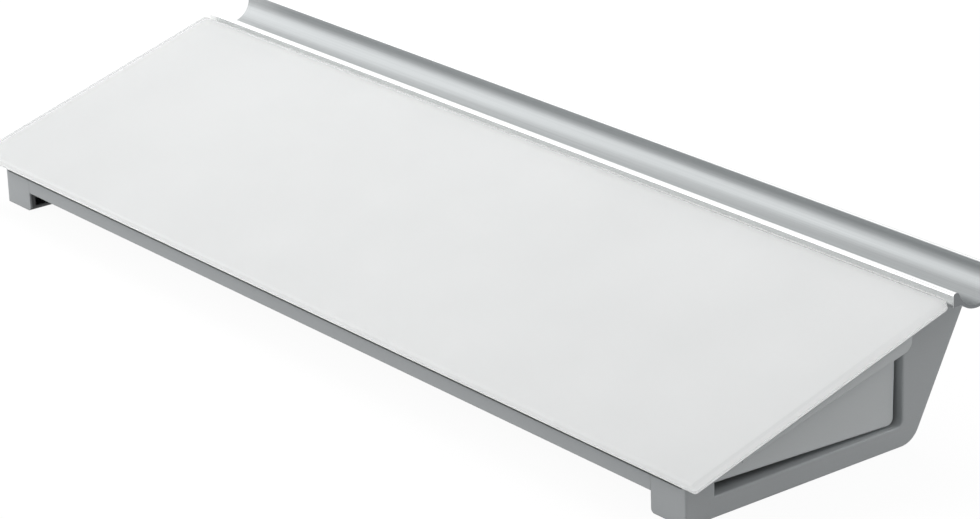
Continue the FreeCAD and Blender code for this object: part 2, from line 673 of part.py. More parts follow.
def rib_screw_points():
    """Middles of the screws in the foot of the middle upright."""
    span = "(Place.guide_rear - Place.guide_front)"
    middle = "Place.rib_place - Size.rib_foot / 2"
    return [(middle, f"Place.guide_front + {span} * {share}") for share in RIB_SCREW_SHARES]


def stop_screw_points():
    """Middles of the screws in the stop block."""
    start = "Place.drawer_middle - Size.stop_width / 2"
    return [("Place.stop_place + Size.stop_length / 2", f"{start} + Size.stop_width * {share}")
            for share in STOP_SCREW_SHARES]


def make_base():
    """Base plate with the holes of everything that is screwed to it from below."""
    rear = f"{rear_face('Size.sill_height')} - Place.rear_wall"
    corners = rectangle("-Place.inner_half", "Place.inner_half", "Size.rail_thickness", rear)
    base = plate("base_plate", "plan", "Size.sill_height", corners, "Size.base_thickness")
    front_runner, rear_runner = runner_screw_points()
    points = base_screw_points() + front_runner + rear_runner + rib_screw_points() + stop_screw_points()
    holes = circles(base, "plan", "Place.base_top + Size.overrun", points, "Size.screw_radius")
    cut(base, holes, "Size.base_thickness + 2 * Size.overrun")


def make_rib():
    """Upright under the middle of the deck, with a foot on the base plate."""
    low = "Place.deck_low_level"
    corners = [
        ("Place.guide_front", "Place.base_top"),
        ("Place.guide_rear", "Place.base_top"),
        ("Place.guide_rear", slope_height("Place.guide_rear", low)),
        ("Place.guide_front", slope_height("Place.guide_front", low)),
    ]
    rib = plate("centre_rib", "section", "Place.rib_place", corners, "Size.rib_thickness")
    foot = rectangle("Place.guide_front", "Place.guide_rear", "Place.base_top", "Place.flange_top")
    add(rib, outline(rib, "section", "Place.rib_place - Size.rib_foot", foot), "Size.rib_foot")
    holes = circles(rib, "plan", "Place.base_top", rib_screw_points(), "Size.screw_radius")
    cut(rib, holes, "Size.flange_thickness + Size.overrun", True)


def make_runners():
    """Two runners: a low rail that carries the drawer, and an upright that guides its side."""
    start = "Place.rib_place + Size.rib_thickness + Size.runner_end_gap"
    length = f"Place.inner_half - Size.runner_end_gap - ({start})"
    guide_top = "Place.runner_top + Size.guide_height"
    front_points, rear_points = runner_screw_points()
    sides = (("front_runner", "Place.guide_front", "+", front_points),
             ("rear_runner", "Place.guide_rear", "-", rear_points))
    for label, outside, sign, points in sides:
        corners = [
            (outside, "Place.base_top"),
            (f"{outside} {sign} Size.runner_width", "Place.base_top"),
            (f"{outside} {sign} Size.runner_width", "Place.runner_top"),
            (f"{outside} {sign} Size.guide_thickness", "Place.runner_top"),
            (f"{outside} {sign} Size.guide_thickness", guide_top),
            (outside, guide_top),
        ]
        runner = plate(label, "section", start, corners, length)
        holes = circles(runner, "plan", "Place.base_top", points, "Size.screw_radius")
        cut(runner, holes, "Size.runner_height - Size.slide_gap", True)


def make_stop():
    """Block on the base plate that catches the drawer's hook."""
    half = "Size.stop_width / 2"
    corners = rectangle("Place.stop_place", "Place.stop_place + Size.stop_length",
                        f"Place.drawer_middle - {half}", f"Place.drawer_middle + {half}")
    height = "Place.drawer_low - Size.stop_gap - Place.base_top"
    stop = plate("drawer_stop", "plan", "Place.base_top", corners, height)
    holes = circles(stop, "plan", "Place.base_top", stop_screw_points(), "Size.screw_radius")
    cut(stop, holes, "Size.runner_height - Size.slide_gap - Size.stop_gap", True)


def trough_side(height, radius, sign):
    """Place on a circle about the trough's middle, at a height, on the front (-) or rear (+) side."""
    return f"(Place.trough_place {sign} sqrt(({radius}) ^ 2 - (Place.trough_height - ({height})) ^ 2))"


def make_tray():
    """Extruded pen tray: a bead behind the glass, a half-round trough and a screw rail."""
    bead_low = "Place.glass_back_height - Size.bead_drop"
    shoulder = "Place.glass_back_height + Size.bead_shoulder"
    middle, height = "Place.trough_place", "Place.trough_height"
    inner, outer = "Size.trough_radius", "Place.tray_outer"
    bead_rear = trough_side(shoulder, inner, "-")
    corners = [
        ("Place.bead_front", bead_low),
        (trough_side(bead_low, outer, "-"), bead_low, outer, 1),
        (middle, f"{height} - {outer}", outer, 1),
        (f"{middle} + {outer}", height),
        (f"{middle} + {outer}", "Place.tray_top"),
        (f"{middle} + {inner}", "Place.tray_top"),
        (f"{middle} + {inner}", height, inner, -1),
        (middle, f"{height} - {inner}", inner, -1),
        (bead_rear, shoulder, f"({bead_rear} - Place.bead_front) * {BEAD_ROUND_SHARE}", 1),
        ("Place.bead_front", shoulder),
    ]
    tray = plate("tray_profile", "section", "-Size.glass_length / 2", corners, "Size.glass_length")

    def lip_edge(middle_point, ends):
        return near(middle_point.z, "Place.tray_top") and abs(middle_point.x) < amount("Place.body_half")

    soften(tray, "Fillet", "Size.tray_lip_round", lip_edge)
    keel = rectangle("Place.keel_front", "Place.keel_front + Size.keel_width", "Place.flat_top",
                     f"{bead_low} + Size.bead_drop")
    half = "(Place.body_half - Size.skin - Size.keel_end_gap)"
    add(tray, outline(tray, "section", f"-{half}", keel), f"2 * {half}")
    holes = circles(tray, "plan", "Place.flat_top", tray_screw_points(), "Size.screw_radius")
    cut(tray, holes, "Size.screw_bite", True)


def make_pads():
    """Four rubber pads, each seated in a recess of a runner's sole."""
    for end, ends in pad_ranges().items():
        for name, side in (("left", -1), ("right", 1)):
            corners = pad_outline(side, ends)
            plate(f"foot_pad_{end}_{name}", "plan", "-Size.pad_proud", corners, "Size.pad_thickness")


def face_screw_points():
    """Middles, in section, of the screws between the drawer box and its front."""
    points = []
    for share in FACE_SCREW_SHARES:
        across = f"(Place.drawer_front_side + (Place.drawer_rear_side - Place.drawer_front_side) * {share})"
        points.append((across, f"(Place.floor_top + {slope_height(across, 'Place.rim_level')}) / 2"))
    return points


def make_drawer_box():
    """Drawer box with a sloping rim and a stop hook under its inner end."""
    front, rear = "Place.drawer_front_side", "Place.drawer_rear_side"
    rim = "Place.rim_level"
    corners = [
        (front, "Place.drawer_low"),
        (rear, "Place.drawer_low"),
        (rear, slope_height(rear, rim)),
        (front, slope_height(front, rim)),
    ]
    start = "Place.drawer_inner_end"
    length = "Place.box_end - Place.drawer_inner_end"
    box = plate("drawer_tray", "section", start, corners, length)
    room = rectangle(f"{front} + Size.drawer_wall", f"{rear} - Size.drawer_wall", "Place.floor_top",
                     f"{slope_height(rear, rim)} + Size.overrun")
    inside = outline(box, "section", f"{start} + Size.drawer_wall", room)
    cut(box, inside, f"{length} - 2 * Size.drawer_wall", True)
    half = "Size.hook_width / 2"
    hook = rectangle(f"Place.drawer_middle - {half}", f"Place.drawer_middle + {half}",
                     "Place.drawer_low - Size.hook_drop", "Place.floor_top")
    add(box, outline(box, "section", start, hook), "Size.hook_thickness")
    holes = circles(box, "section", "Place.box_end + Size.overrun", face_screw_points(), "Size.screw_radius")
    cut(box, holes, "Size.drawer_wall + 2 * Size.overrun")


def lip_outline(rear, level):
    """Section of the pull lip: thin at its front end, with a round lower corner at its rear end."""
    front = "Size.opening_front + Size.lip_inset"
    front_low = f"({slope_height(front, level)} - Size.lip_front_drop)"
    rear_low = f"({slope_height(rear, level)} - Size.lip_rear_drop)"
    climb = f"atan(({rear_low} - {front_low}) / ({rear} - ({front})))"
    tangent = f"(Size.lip_corner * tan((90 deg - {climb}) / 2))"
    corner_start = (f"{rear} - {tangent} * cos({climb})", f"{rear_low} - {tangent} * sin({climb})")
    return [
        (front, front_low),
        corner_start + ("Size.lip_corner", 1),
        (rear, f"{rear_low} + {tangent}"),
        (rear, slope_height(rear, level)),
        (front, slope_height(front, level)),
    ]


def make_drawer_front():
    """Wedge-shaped plate with a pull lip that tapers towards the front."""
    level = "Place.lip_level"
    front = "Size.opening_front + Size.face_gap"
    rear_low = "Place.opening_rear - Size.face_low_gap"
    rear_top = "Place.opening_rear - Size.face_gap"
    corners = [
        (front, "Size.sill_height + Size.face_front_lift"),
        (rear_low, "Size.sill_height + Size.face_rear_lift"),
        (rear_top, slope_height(rear_top, level)),
        (front, slope_height(front, level)),
    ]
    face = plate("drawer_front", "section", "Place.box_end", corners, "Size.face_thickness")
    low_corner = [amount(corner) for corner in corners[1]]

    def rear_low_corner(middle, ends):
        return math.dist((middle.y, middle.z), low_corner) < amount("Size.pick")

    soften(face, "Fillet", "Size.face_round", rear_low_corner)
    lip = outline(face, "section", "Place.face_place", lip_outline(rear_top, level))
    add(face, lip, "Size.face_recess + Size.lip_reach")
    holes = circles(face, "section", "Place.box_end", face_screw_points(), "Size.screw_radius")
    cut(face, holes, "Size.front_screw_bite", True)
    outside = "Place.body_half + Size.lip_reach"

    def lip_lower_edge(middle, ends):
        below_top = middle.z < amount(slope_height(str(middle.y), level)) - amount("Size.pick")
        behind_front = middle.y > amount("Size.opening_front + Size.lip_inset + Size.pick")
        return near(middle.x, outside) and below_top and behind_front

    soften(face, "Fillet", "Size.lip_edge", lip_lower_edge)


def one_screw(label, place, direction, bite, turn_axis, turn):
    """A screw: a flat round head and a shank that points up (1) or down (-1) before it is turned."""
    head = doc.addObject("Part::Cylinder", f"{label}_head")
    head.setExpression("Radius", "Size.screw_head_radius")
    head.setExpression("Height", "Size.screw_head")
    shank = doc.addObject("Part::Cylinder", f"{label}_shank")
    shank.setExpression("Radius", "Size.screw_radius")
    shank.setExpression("Height", bite)
    if direction > 0:
        head.setExpression("Placement.Base.z", "-Size.screw_head")
    else:
        shank.setExpression("Placement.Base.z", f"-({bite})")
    screw = doc.addObject("Part::Fuse", f"{label}_screw")
    screw.Base = head
    screw.Tool = shank
    screw.Placement = FreeCAD.Placement(FreeCAD.Vector(), FreeCAD.Rotation(turn_axis, amount(turn)))
    if amount(turn):
        screw.setExpression("Placement.Rotation.Angle", turn)
    for axis, expression in zip("xyz", place):
        screw.setExpression(f"Placement.Base.{axis}", expression)
    return screw


def screw_group(label, places, direction, bite, turn_axis=FreeCAD.Vector(1, 0, 0), turn="0"):
    """Identical screws as one piece of separate solids."""
    group = doc.addObject("Part::Compound", label)
    group.Label = label
    group.Links = [one_screw(label, place, direction, bite, turn_axis, turn) for place in places]
    group.setExpression("Placement.Base.y", "Place.front_shift")
    group.setExpression("Placement.Base.z", "Size.pad_proud")
    pieces.append(group)


def make_screws():
    """All fasteners, each kind with its head on the piece that it holds down."""
    under_ledge = [(x, y, "Size.sill_height - Size.sill_wall") for x, y in base_screw_points()]
    base_bite = "Size.sill_wall + Size.base_thickness + Size.flange_thickness + Size.boss_height"
    screw_group("base_screws", under_ledge, 1, base_bite)
    front, rear = runner_screw_points()
    rail_bite = "Size.base_thickness + Size.runner_height - Size.slide_gap"
    screw_group("runner_screws", [(x, y, "Size.sill_height") for x, y in front + rear], 1, rail_bite)
    screw_group("rib_screws", [(x, y, "Size.sill_height") for x, y in rib_screw_points()], 1,
                "Size.base_thickness + Size.flange_thickness")
    screw_group("stop_screws", [(x, y, "Size.sill_height") for x, y in stop_screw_points()], 1,
                f"{rail_bite} - Size.stop_gap")
    screw_group("tray_screws", [(x, y, "Place.flat_low") for x, y in tray_screw_points()], 1,
                "Size.deck_thickness + Size.screw_bite")
    deck_bite = "Size.deck_thickness + Size.screw_bite"
    front_points, rear_points = deck_screw_points()
    top = "Place.deck_top_level"
    on_slope = []
    for x, up in front_points:
        across = f"({up}) * cos(Size.tilt) - Size.front_overhang - {top} * sin(Size.tilt)"
        height = f"Size.glass_front_height + ({up}) * sin(Size.tilt) + {top} * cos(Size.tilt)"
        on_slope.append((x, across, height))
    screw_group("deck_front_screws", on_slope, -1, deck_bite, turn="Size.tilt")
    screw_group("deck_rear_screws", [(x, y, "Place.flat_top") for x, y in rear_points], -1, deck_bite)
    inside = "Place.box_end - Size.drawer_wall"
    screw_group("drawer_front_screws", [(inside, y, z) for y, z in face_screw_points()], 1,
                "Size.drawer_wall + Size.front_screw_bite", FreeCAD.Vector(0, 1, 0), "90")


def check_and_write():
    """Stop at any failed object or bad shape, then write one STEP file for each piece."""
    doc.recompute()
    failed = [item.Label for item in doc.Objects if {"Invalid", "Error"} & set(item.State)]
    bad = [piece.Label for piece in pieces if piece.Shape.isNull() or not piece.Shape.isValid()]
    if failed or bad:
        raise RuntimeError(f"failed objects {failed}, bad shapes {bad}")
    os.makedirs("parts", exist_ok=True)
    for piece in pieces:
        piece.Shape.exportStep(f"parts/{piece.Label}.step")
        print(f"{piece.Label}: {len(piece.Shape.Solids)} solids, {piece.Shape.Volume / 1000:.2f} cm3")


make_glass()
make_tapes()
make_deck()
make_end_frame("left_end_frame", -1, False)
make_end_frame("right_end_frame", 1, True)
make_rail()
make_rear_panel()
make_base()
make_rib()
make_runners()
make_stop()
make_tray()
make_pads()
make_drawer_box()
make_drawer_front()
make_screws()
check_and_write()
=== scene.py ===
# %% [markdown]
# A glass memo board for the desk: a white writing glass on a low silver body, with a pen tray behind the
# glass and a drawer in the right-hand end. The structure comes from the CAD model, which stays as it is.
# This file gives each surface its finish and remakes the pieces whose soft edges catch the light.
# Everything is in metres. X runs along the desk, Y runs from the front edge to the tray, and Z is up.

# %% Load the CAD frame
import json
import math

import bmesh
import bpy
from mathutils import Matrix, Vector


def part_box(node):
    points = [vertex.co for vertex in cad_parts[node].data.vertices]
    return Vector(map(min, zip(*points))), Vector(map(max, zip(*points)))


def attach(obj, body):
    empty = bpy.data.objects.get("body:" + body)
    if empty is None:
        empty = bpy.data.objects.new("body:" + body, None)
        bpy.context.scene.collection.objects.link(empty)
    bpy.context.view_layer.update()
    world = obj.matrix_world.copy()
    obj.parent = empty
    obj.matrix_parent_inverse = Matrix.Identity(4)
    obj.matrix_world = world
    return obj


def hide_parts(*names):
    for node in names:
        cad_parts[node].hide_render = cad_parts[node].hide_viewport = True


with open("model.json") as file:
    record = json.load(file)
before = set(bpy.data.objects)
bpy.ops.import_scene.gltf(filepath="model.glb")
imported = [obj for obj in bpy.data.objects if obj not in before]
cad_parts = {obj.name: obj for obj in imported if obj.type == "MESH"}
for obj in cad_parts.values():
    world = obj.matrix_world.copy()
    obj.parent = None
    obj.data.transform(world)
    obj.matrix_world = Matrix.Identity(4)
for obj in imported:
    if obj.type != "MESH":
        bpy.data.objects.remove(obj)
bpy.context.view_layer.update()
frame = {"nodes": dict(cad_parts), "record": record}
nodes = frame["nodes"]
MM = 0.001
print("nodes in the frame:", len(nodes))

# %% [markdown]
# The pieces below are modelled as by hand: a primitive is added, shaped in edit mode and finished.
# An operator acts on whatever is selected, so each piece starts with nothing selected, and the faces,
# edges or points for the next operator are picked in code by where they lie and which way they point.


# %% Helpers for picking and finishing
def clear_selection():
    """Leave edit mode and deselect every object."""
    if bpy.context.mode != "OBJECT":
        bpy.ops.object.mode_set(mode="OBJECT")
    bpy.ops.object.select_all(action="DESELECT")


def pick(kind, wanted):
    """In edit mode, select the vertices, edges or faces whose middle and direction pass a test."""
    bpy.ops.mesh.select_mode(type=kind)
    bpy.ops.mesh.select_all(action="DESELECT")
    shape = bmesh.from_edit_mesh(bpy.context.edit_object.data)
    count = 0
    if kind == "VERT":
        items = [(vert, vert.co, vert.normal) for vert in shape.verts]
    elif kind == "EDGE":
        items = [(edge, (edge.verts[0].co + edge.verts[1].co) / 2,
                  (edge.verts[1].co - edge.verts[0].co).normalized()) for edge in shape.edges]
    else:
        items = [(face, face.calc_center_median(), face.normal) for face in shape.faces]
    for item, middle, direction in items:
        if wanted(middle, direction):
            item.select_set(True)
            count += 1
    shape.select_flush_mode()
    bmesh.update_edit_mesh(bpy.context.edit_object.data)
    return count


def finish_piece(name, smooth_angle=35):
    """Name the active object, put its place into its mesh and shade its soft edges smooth."""
    if bpy.context.mode != "OBJECT":
        bpy.ops.object.mode_set(mode="OBJECT")
    piece = bpy.context.active_object
    piece.name = name
    piece.data.name = name
    bpy.ops.object.transform_apply(location=True, rotation=True, scale=True)
    bpy.ops.object.shade_smooth_by_angle(angle=math.radians(smooth_angle))
    size = [round(length / MM, 2) for length in piece.dimensions]
    print(name, "faces", len(piece.data.polygons), "size in mm", size)
    return piece


# %% [markdown]
# The writing panel and the white coat under it are flat sheets that lie on the same slope. Their rear
# corners have a small radius and their front corners are nearly sharp. A sheet could be drawn as a curve and
# filled, but a box of the right size with bevelled corners is simpler. It is tilted last, because edges are
# easiest to pick while the box is square to the axes.

# %% Sheets that lie on the slope
REAR_CORNER = 2.5 * MM
FRONT_CORNER = 1 * MM
CORNER_STEPS = 8
FRONT_STEPS = 5
TILT = math.radians(16.5)
SHEET_SMOOTH_ANGLE = 20
# An edge or a normal with this share along an axis counts as lying along it.
MOSTLY = 0.9

slope_up = Vector((0, -math.sin(TILT), math.cos(TILT)))


def add_rounded_sheet(length, depth, thickness):
    """Add a flat sheet with rounded corners and stay in edit mode."""
    clear_selection()
    bpy.ops.mesh.primitive_cube_add(size=1)
    bpy.context.active_object.scale = (length, depth, thickness)
    bpy.ops.object.transform_apply(scale=True)
    bpy.ops.object.mode_set(mode="EDIT")
    pick("EDGE", lambda middle, along: abs(along.z) > MOSTLY and middle.y > 0)
    bpy.ops.mesh.bevel(offset=REAR_CORNER, segments=CORNER_STEPS, affect="EDGES")
    pick("EDGE", lambda middle, along: abs(along.z) > MOSTLY and middle.y < -depth / 4)
    bpy.ops.mesh.bevel(offset=FRONT_CORNER, segments=FRONT_STEPS, affect="EDGES")


def lay_on_slope(name, middle):
    """Tilt the sheet that is being edited and put its middle at a point."""
    bpy.ops.object.mode_set(mode="OBJECT")
    bpy.context.active_object.rotation_euler.x = TILT
    bpy.context.active_object.location = middle
    return finish_piece(name, SHEET_SMOOTH_ANGLE)


print("slope of the glass:", round(math.degrees(TILT), 1), "degrees")

# %% [markdown]
# The writing panel is 4 mm toughened glass. A narrow bevel, the arris, is ground along its edges. It is
# wider above than below, and shows as a fine line round the white surface. Two cuts near the underside
# mark off the band that the grinding belt leaves matte. They change no shape, but give the band its faces.

# %% Writing glass
GLASS_DEPTH = 122 * MM
GLASS_THICKNESS = 4 * MM
UPPER_ARRIS = 0.8 * MM
LOWER_ARRIS = 0.3 * MM
BAND_HEIGHTS = (0.5 * MM, 1.3 * MM)
TOUCHING = 0.01 * MM
CUT_SNAP = 0.001 * MM

glass_low, glass_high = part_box("glass_panel")
add_rounded_sheet(glass_high.x - glass_low.x, GLASS_DEPTH, GLASS_THICKNESS)
upper_edges = pick("EDGE", lambda middle, along: abs(middle.z - GLASS_THICKNESS / 2) < TOUCHING)
bpy.ops.mesh.bevel(offset=UPPER_ARRIS, segments=1, affect="EDGES")
pick("EDGE", lambda middle, along: abs(middle.z + GLASS_THICKNESS / 2) < TOUCHING)
bpy.ops.mesh.bevel(offset=LOWER_ARRIS, segments=1, affect="EDGES")
for height in BAND_HEIGHTS:
    cut_level = (0, 0, height - GLASS_THICKNESS / 2)
    bpy.ops.mesh.select_all(action="SELECT")
    bpy.ops.mesh.bisect(plane_co=cut_level, plane_no=(0, 0, 1), threshold=CUT_SNAP)
band_middle = sum(BAND_HEIGHTS) / 2 - GLASS_THICKNESS / 2
print("edges ground along the top:", upper_edges)
glass = lay_on_slope("writing_glass", Vector())
glass_shift = Vector((0, glass_high.y - max(v.co.y for v in glass.data.vertices),
                      glass_low.z - min(v.co.z for v in glass.data.vertices)))
bpy.ops.transform.translate(value=glass_shift)
bpy.ops.object.transform_apply(location=True)
band_level = band_middle + glass_shift.dot(slope_up)
print("ground band", [round(height / MM, 1) for height in BAND_HEIGHTS], "mm above the underside")

# %% [markdown]
# The white of the board is a thin coat of enamel on the underside of the glass, a little smaller than the
# glass, so that a fine clear border stays round it. In a render, two surfaces in the same place flicker, so
# the coat reaches a twentieth of a millimetre into the glass, which also is how a fused coat meets it.
# At the back the enamel ran a little further when it was fired, almost to the edge.

# %% White coat
COAT_SINK = 0.05 * MM
COAT_THICKNESS = 0.3 * MM
COAT_RUN = 0.3 * MM

coat_low, coat_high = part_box("backing_film")
slope_back = Vector((0, math.cos(TILT), math.sin(TILT)))
coat_depth = (coat_high.y - coat_low.y - COAT_THICKNESS * math.sin(TILT)) / math.cos(TILT)
add_rounded_sheet(coat_high.x - coat_low.x, coat_depth + COAT_RUN, COAT_THICKNESS + COAT_SINK)
coat = lay_on_slope("white_coat", (coat_low + coat_high) / 2 + slope_up * COAT_SINK / 2
                    + slope_back * COAT_RUN / 2)

# %% [markdown]
# The pen tray is one extruded aluminium profile: a round-topped bead behind the glass, a half-round trough
# and a short upright lip. An extrusion is one outline pushed along its length, so it is drawn the same way:
# a single point is extruded along the straight runs and spun round the arcs until the outline closes.

# %% Outline of the pen tray
TROUGH_RADIUS = 9.2 * MM
TRAY_WALL = 1.3 * MM
TRAY_RISE = 2.2 * MM
BEAD_LOW = 7.55 * MM
BEAD_SHOULDER = 3.25 * MM
BEAD_ROUND_SHARE = 0.55
ARC_STEPS = 40
BEAD_STEPS = 10
JOIN_WITHIN = 0.005 * MM

tray_low, tray_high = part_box("tray_profile")
trough_outer = TROUGH_RADIUS + TRAY_WALL
trough_middle = Vector((tray_low.x, tray_high.y - trough_outer, tray_high.z - TRAY_RISE))


def trough_front(below, radius):
    """Point on the front of the trough at a depth below its middle."""
    return trough_middle + Vector((0, -math.sqrt(radius ** 2 - below ** 2), -below))


def selected_point():
    """The selected point of the outline that is being drawn."""
    shape = bmesh.from_edit_mesh(bpy.context.edit_object.data)
    return next(vert.co.copy() for vert in shape.verts if vert.select)


def run_to(point):
    """Extrude the selected point along a straight line."""
    bpy.ops.mesh.extrude_vertices_move(TRANSFORM_OT_translate={"value": Vector(point) - selected_point()})


def arc_to(point, middle, steps, turn):
    """Spin the selected point round a middle, clockwise (-1) or anticlockwise (1) as seen from +X."""
    first = selected_point() - middle
    last = Vector(point) - middle
    angle = math.atan2(last.z, last.y) - math.atan2(first.z, first.y)
    if angle * turn < 0:
        angle += turn * math.tau
    bpy.ops.mesh.spin(steps=steps, angle=-angle, center=middle, axis=(1, 0, 0))


bead_rear = trough_front(BEAD_SHOULDER, TROUGH_RADIUS)
bead_front = Vector((tray_low.x, tray_low.y, bead_rear.z))
bead_foot = Vector((tray_low.x, tray_low.y, trough_middle.z - BEAD_LOW))
bead_width = bead_rear.y - bead_front.y
bead_radius = bead_width * BEAD_ROUND_SHARE
bead_sink = math.sqrt(bead_radius ** 2 - (bead_width / 2) ** 2)
bead_middle = (bead_front + bead_rear) / 2 - Vector((0, 0, bead_sink))
lip_low_out = trough_middle + Vector((0, trough_outer, 0))
lip_low_in = trough_middle + Vector((0, TROUGH_RADIUS, 0))

clear_selection()
bpy.ops.mesh.primitive_plane_add(size=MM, location=bead_foot)
bpy.ops.object.transform_apply(location=True)
bpy.ops.object.mode_set(mode="EDIT")
bpy.ops.mesh.select_mode(type="VERT")
bpy.ops.mesh.select_all(action="SELECT")
bpy.ops.mesh.merge(type="CENTER")
run_to(trough_front(BEAD_LOW, trough_outer))
arc_to(lip_low_out, trough_middle, ARC_STEPS, 1)
run_to(lip_low_out + Vector((0, 0, TRAY_RISE)))
run_to(lip_low_in + Vector((0, 0, TRAY_RISE)))
run_to(lip_low_in)
arc_to(bead_rear, trough_middle, ARC_STEPS, -1)
arc_to(bead_front, bead_middle, BEAD_STEPS, 1)
run_to(bead_foot)
bpy.ops.mesh.select_all(action="SELECT")
bpy.ops.mesh.remove_doubles(threshold=JOIN_WITHIN)
outline_points = len(bmesh.from_edit_mesh(bpy.context.edit_object.data).verts)
print("points in the tray's outline:", outline_points)

# %% [markdown]
# The filled outline is extruded along X, as the press does it. The die rounds the lip's two edges, and the
# sawn ends are deburred, which leaves a very small radius there.

# %% Extrude the tray and round its lip
LIP_ROUND = 0.45 * MM
END_ROUND = 0.12 * MM
EDGE_STEPS = 6
END_STEPS = 2
TRAY_SMOOTH_ANGLE = 20

bpy.ops.mesh.select_all(action="SELECT")
bpy.ops.mesh.edge_face_add()
bpy.ops.mesh.extrude_region_move(TRANSFORM_OT_translate={"value": (tray_high.x - tray_low.x, 0, 0)})
bpy.ops.mesh.select_all(action="SELECT")
bpy.ops.mesh.normals_make_consistent(inside=False)
pick("EDGE", lambda middle, along: abs(along.x) > MOSTLY and abs(middle.z - tray_high.z) < TOUCHING)
bpy.ops.mesh.bevel(offset=LIP_ROUND, segments=EDGE_STEPS, affect="EDGES")
pick("EDGE", lambda middle, along: abs(abs(middle.x) - tray_high.x) < TOUCHING)
bpy.ops.mesh.bevel(offset=END_ROUND, segments=END_STEPS, affect="EDGES")
tray = finish_piece("pen_tray", TRAY_SMOOTH_ANGLE)

# %% [markdown]
# The drawer front is a moulded wedge: a sloping top, a slightly sloping bottom and a rear edge that leans.
# A box that is larger above, below and at the rear is cut down to it with one plane for each of these
# edges, which keeps every edge straight and at its own slope.

# %% Wedge of the drawer front
face_low, face_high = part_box("drawer_front")
FACE_THICKNESS = 3.3 * MM
FACE_OUT = face_low.x + FACE_THICKNESS
FACE_FRONT_LIFT = 12.3 * MM
FACE_REAR_LIFT = 9.2 * MM
FACE_LEAN = 2.4 * MM
BLOCK_SPARE = 5 * MM


def cut_away(point, outward):
    """Cut off and cap what lies outside a plane."""
    bpy.ops.mesh.select_all(action="SELECT")
    bpy.ops.mesh.bisect(plane_co=point, plane_no=outward, use_fill=True, clear_outer=True,
                        threshold=CUT_SNAP)


block_low = Vector((face_low.x, face_low.y, FACE_REAR_LIFT - BLOCK_SPARE))
block_high = Vector((FACE_OUT, face_high.y + BLOCK_SPARE, face_high.z + BLOCK_SPARE))
clear_selection()
bpy.ops.mesh.primitive_cube_add(size=1)
bpy.context.active_object.scale = block_high - block_low
bpy.context.active_object.location = (block_low + block_high) / 2
bpy.ops.object.transform_apply(location=True, scale=True)
bpy.ops.object.mode_set(mode="EDIT")
top_rear = Vector((face_low.x, face_high.y, face_high.z))
cut_away(top_rear, slope_up)
low_rear = Vector((face_low.x, face_high.y - FACE_LEAN, FACE_REAR_LIFT))
low_front = Vector((face_low.x, face_low.y, FACE_FRONT_LIFT))
low_edge = low_rear - low_front
cut_away(low_front, (0, low_edge.z, -low_edge.y))
rear_edge = top_rear - low_rear
cut_away(low_rear, (0, rear_edge.z, -rear_edge.y))
print("wedge faces:", len(bmesh.from_edit_mesh(bpy.context.edit_object.data).faces))

# %% [markdown]
# A finger lip runs along the top of the drawer front. It grows from almost nothing at the front to nearly
# 5 mm at the rear. The outer face is divided along the lip's lower line, and that strip is pulled outwards.

# %% Finger lip
LIP_START = 7.4 * MM
LIP_FRONT_DROP = 0.8 * MM
LIP_REAR_DROP = 4.8 * MM

lip_front_y = face_low.y + LIP_START
lip_front_top = top_rear.z - (top_rear.y - lip_front_y) * math.tan(TILT)
lip_line_front = Vector((FACE_OUT, lip_front_y, lip_front_top - LIP_FRONT_DROP))
lip_line_rear = top_rear - rear_edge * (LIP_REAR_DROP / rear_edge.z)
lip_line_rear.x = FACE_OUT
lip_line = (lip_line_rear - lip_line_front).normalized()
above_line = Vector((0, -lip_line.z, lip_line.y))
pick("FACE", lambda middle, normal: normal.x > MOSTLY)
bpy.ops.mesh.bisect(plane_co=lip_line_front, plane_no=above_line, threshold=CUT_SNAP)
pick("FACE", lambda middle, normal: normal.x > MOSTLY and (middle - lip_line_front).dot(above_line) > 0)
bpy.ops.mesh.bisect(plane_co=lip_line_front, plane_no=(0, 1, 0), threshold=CUT_SNAP)
pick("FACE", lambda middle, normal: normal.x > MOSTLY and (middle - lip_line_front).dot(above_line) > 0
     and middle.y > lip_front_y)
bpy.ops.mesh.extrude_region_move(TRANSFORM_OT_translate={"value": (face_high.x - FACE_OUT, 0, 0)})
print("lip reaches", round((face_high.x - FACE_OUT) / MM, 2), "mm out of the face")

# %% [markdown]
# A mould has no sharp corners. The two rear corners get a clear radius, the lip blends into the face with a
# soft hollow, and a Bevel modifier rounds every other edge a little, which is what catches the light.

# %% Soften the drawer front
LIP_CORNER = 2.8 * MM
FACE_CORNER = 2.5 * MM
LIP_HOLLOW = 1.6 * MM
ROOT_START = 1 * MM
NEAR_CORNER = 0.05 * MM
MOULD_EDGE = 0.45 * MM
MOULD_STEPS = 3
SOFT_ANGLE = 40

lip_corners = pick("EDGE", lambda middle, along: abs(along.x) > MOSTLY and middle.x > FACE_OUT
                   and (middle - lip_line_rear).yz.length < NEAR_CORNER)
bpy.ops.mesh.bevel(offset=LIP_CORNER, segments=CORNER_STEPS, affect="EDGES")
face_corners = pick("EDGE", lambda middle, along: abs(along.x) > MOSTLY
                    and (middle - low_rear).yz.length < NEAR_CORNER)
bpy.ops.mesh.bevel(offset=FACE_CORNER, segments=CORNER_STEPS, affect="EDGES")
root_edges = pick("EDGE", lambda middle, along: abs(middle.x - FACE_OUT) < TOUCHING
                  and abs((middle - lip_line_front).dot(above_line)) < NEAR_CORNER
                  and middle.y > lip_front_y + ROOT_START)
bpy.ops.mesh.bevel(offset=LIP_HOLLOW, segments=EDGE_STEPS, affect="EDGES")
print("corners rounded:", lip_corners, face_corners, "root edges:", root_edges)
drawer_front = finish_piece("drawer_pull_front", SOFT_ANGLE)
soften = drawer_front.modifiers.new("moulded_edges", "BEVEL")
soften.width = MOULD_EDGE
soften.segments = MOULD_STEPS
soften.limit_method = "ANGLE"
soften.angle_limit = math.radians(SOFT_ANGLE)
